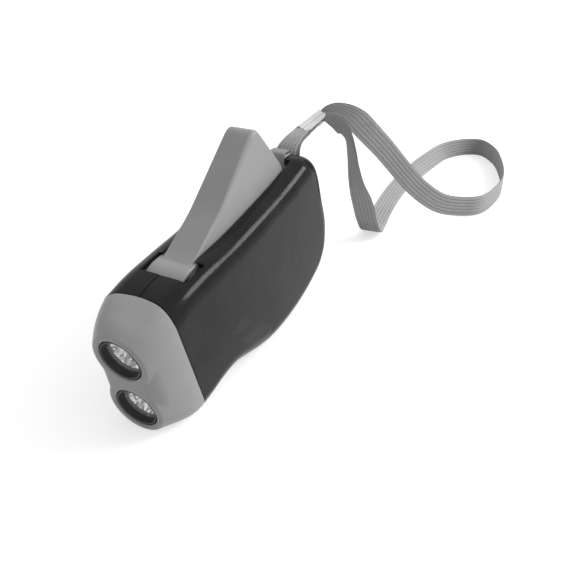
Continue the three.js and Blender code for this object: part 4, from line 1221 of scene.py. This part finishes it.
# Floor and light: a sky that is brighter behind and to the right, and one small lamp there
light = {
    "sky": 0.58, "slope": 0.28, "slopeTowards": (0.6, 0.75, 0), "lobe": 1.6,
    "lobeTowards": (0.6, 0.62, 0.5), "key": 2.8, "keyAt": (0.59, 0.475, 0.57), "keySize": 0.28,
    "floor": (0.55, 0.55, 0.55, 1), "floorDark": (0.5, 0.5, 0.5, 1), "floorGlow": 0.62,
    "floorHalf": 4,
}


# White for the camera and in reflections, plain light for everything else
def seenRays(finish):
    rays = finish.node("LightPath")
    seen = Amount(finish, rays.outputs["Is Camera Ray"])
    for kind in ("Is Glossy Ray", "Is Transmission Ray"):
        seen = seen + Amount(finish, rays.outputs[kind])
    return seen.maths("MINIMUM", 1.0)


def makeFloor():
    f = Finish("floor_paper")
    fibres = f.noise(3, 4)
    diffuse = f.node("BsdfDiffuse", sockets={
        "Color": f.blend(fibres * 0.05, light["floor"], light["floorDark"]),
    })
    glow = f.node("Emission", sockets={"Color": white, "Strength": light["floorGlow"]})
    both = f.node("AddShader", sockets={0: diffuse.outputs[0], 1: glow.outputs[0]})
    paper = f.done(f.node("MixShader", sockets={
        0: seenRays(f), 1: diffuse.outputs[0], 2: both.outputs[0],
    }))
    w = light["floorHalf"]
    mesh = bpy.data.meshes.new("floor")
    mesh.from_pydata([(-w, -w, 0), (w, -w, 0), (w, w, 0), (-w, w, 0)], [], [(0, 1, 2, 3)])
    mesh.materials.append(paper)
    floor = bpy.data.objects.new("floor", mesh)
    scene.collection.objects.link(floor)


def makeSky():
    scene.world = bpy.data.worlds.new("studio")
    sky = Finish(scene.world)
    towards = sky.value("TexCoord", output="Generated")

    def facing(way):
        return sky.value("VectorMath", {"operation": "DOT_PRODUCT"}, {0: towards, 1: way}, "Value")

    lobe = facing(tuple(Vector(light["lobeTowards"]).normalized()))
    lobe = lobe.maths("MAXIMUM") ** 4
    level = facing(light["slopeTowards"]) * light["slope"] + lobe * light["lobe"] + light["sky"]
    plain = sky.node("Background", sockets={"Color": white, "Strength": level})
    seen = sky.node("Background", sockets={"Color": white, "Strength": 1.0})
    sky.done(sky.node("MixShader", sockets={
        0: seenRays(sky), 1: plain.outputs[0], 2: seen.outputs[0],
    }), "World")


def makeKey():
    data = bpy.data.lights.new("key", "AREA")
    data.energy = light["key"]
    data.size = light["keySize"]
    key = bpy.data.objects.new("key", data)
    key.location = light["keyAt"]
    key.rotation_euler = (-Vector(light["keyAt"])).to_track_quat("-Z", "Y").to_euler()
    scene.collection.objects.link(key)


makeFloor()
makeSky()
makeKey()
scene.view_settings.view_transform = "Standard"
print("stage set")
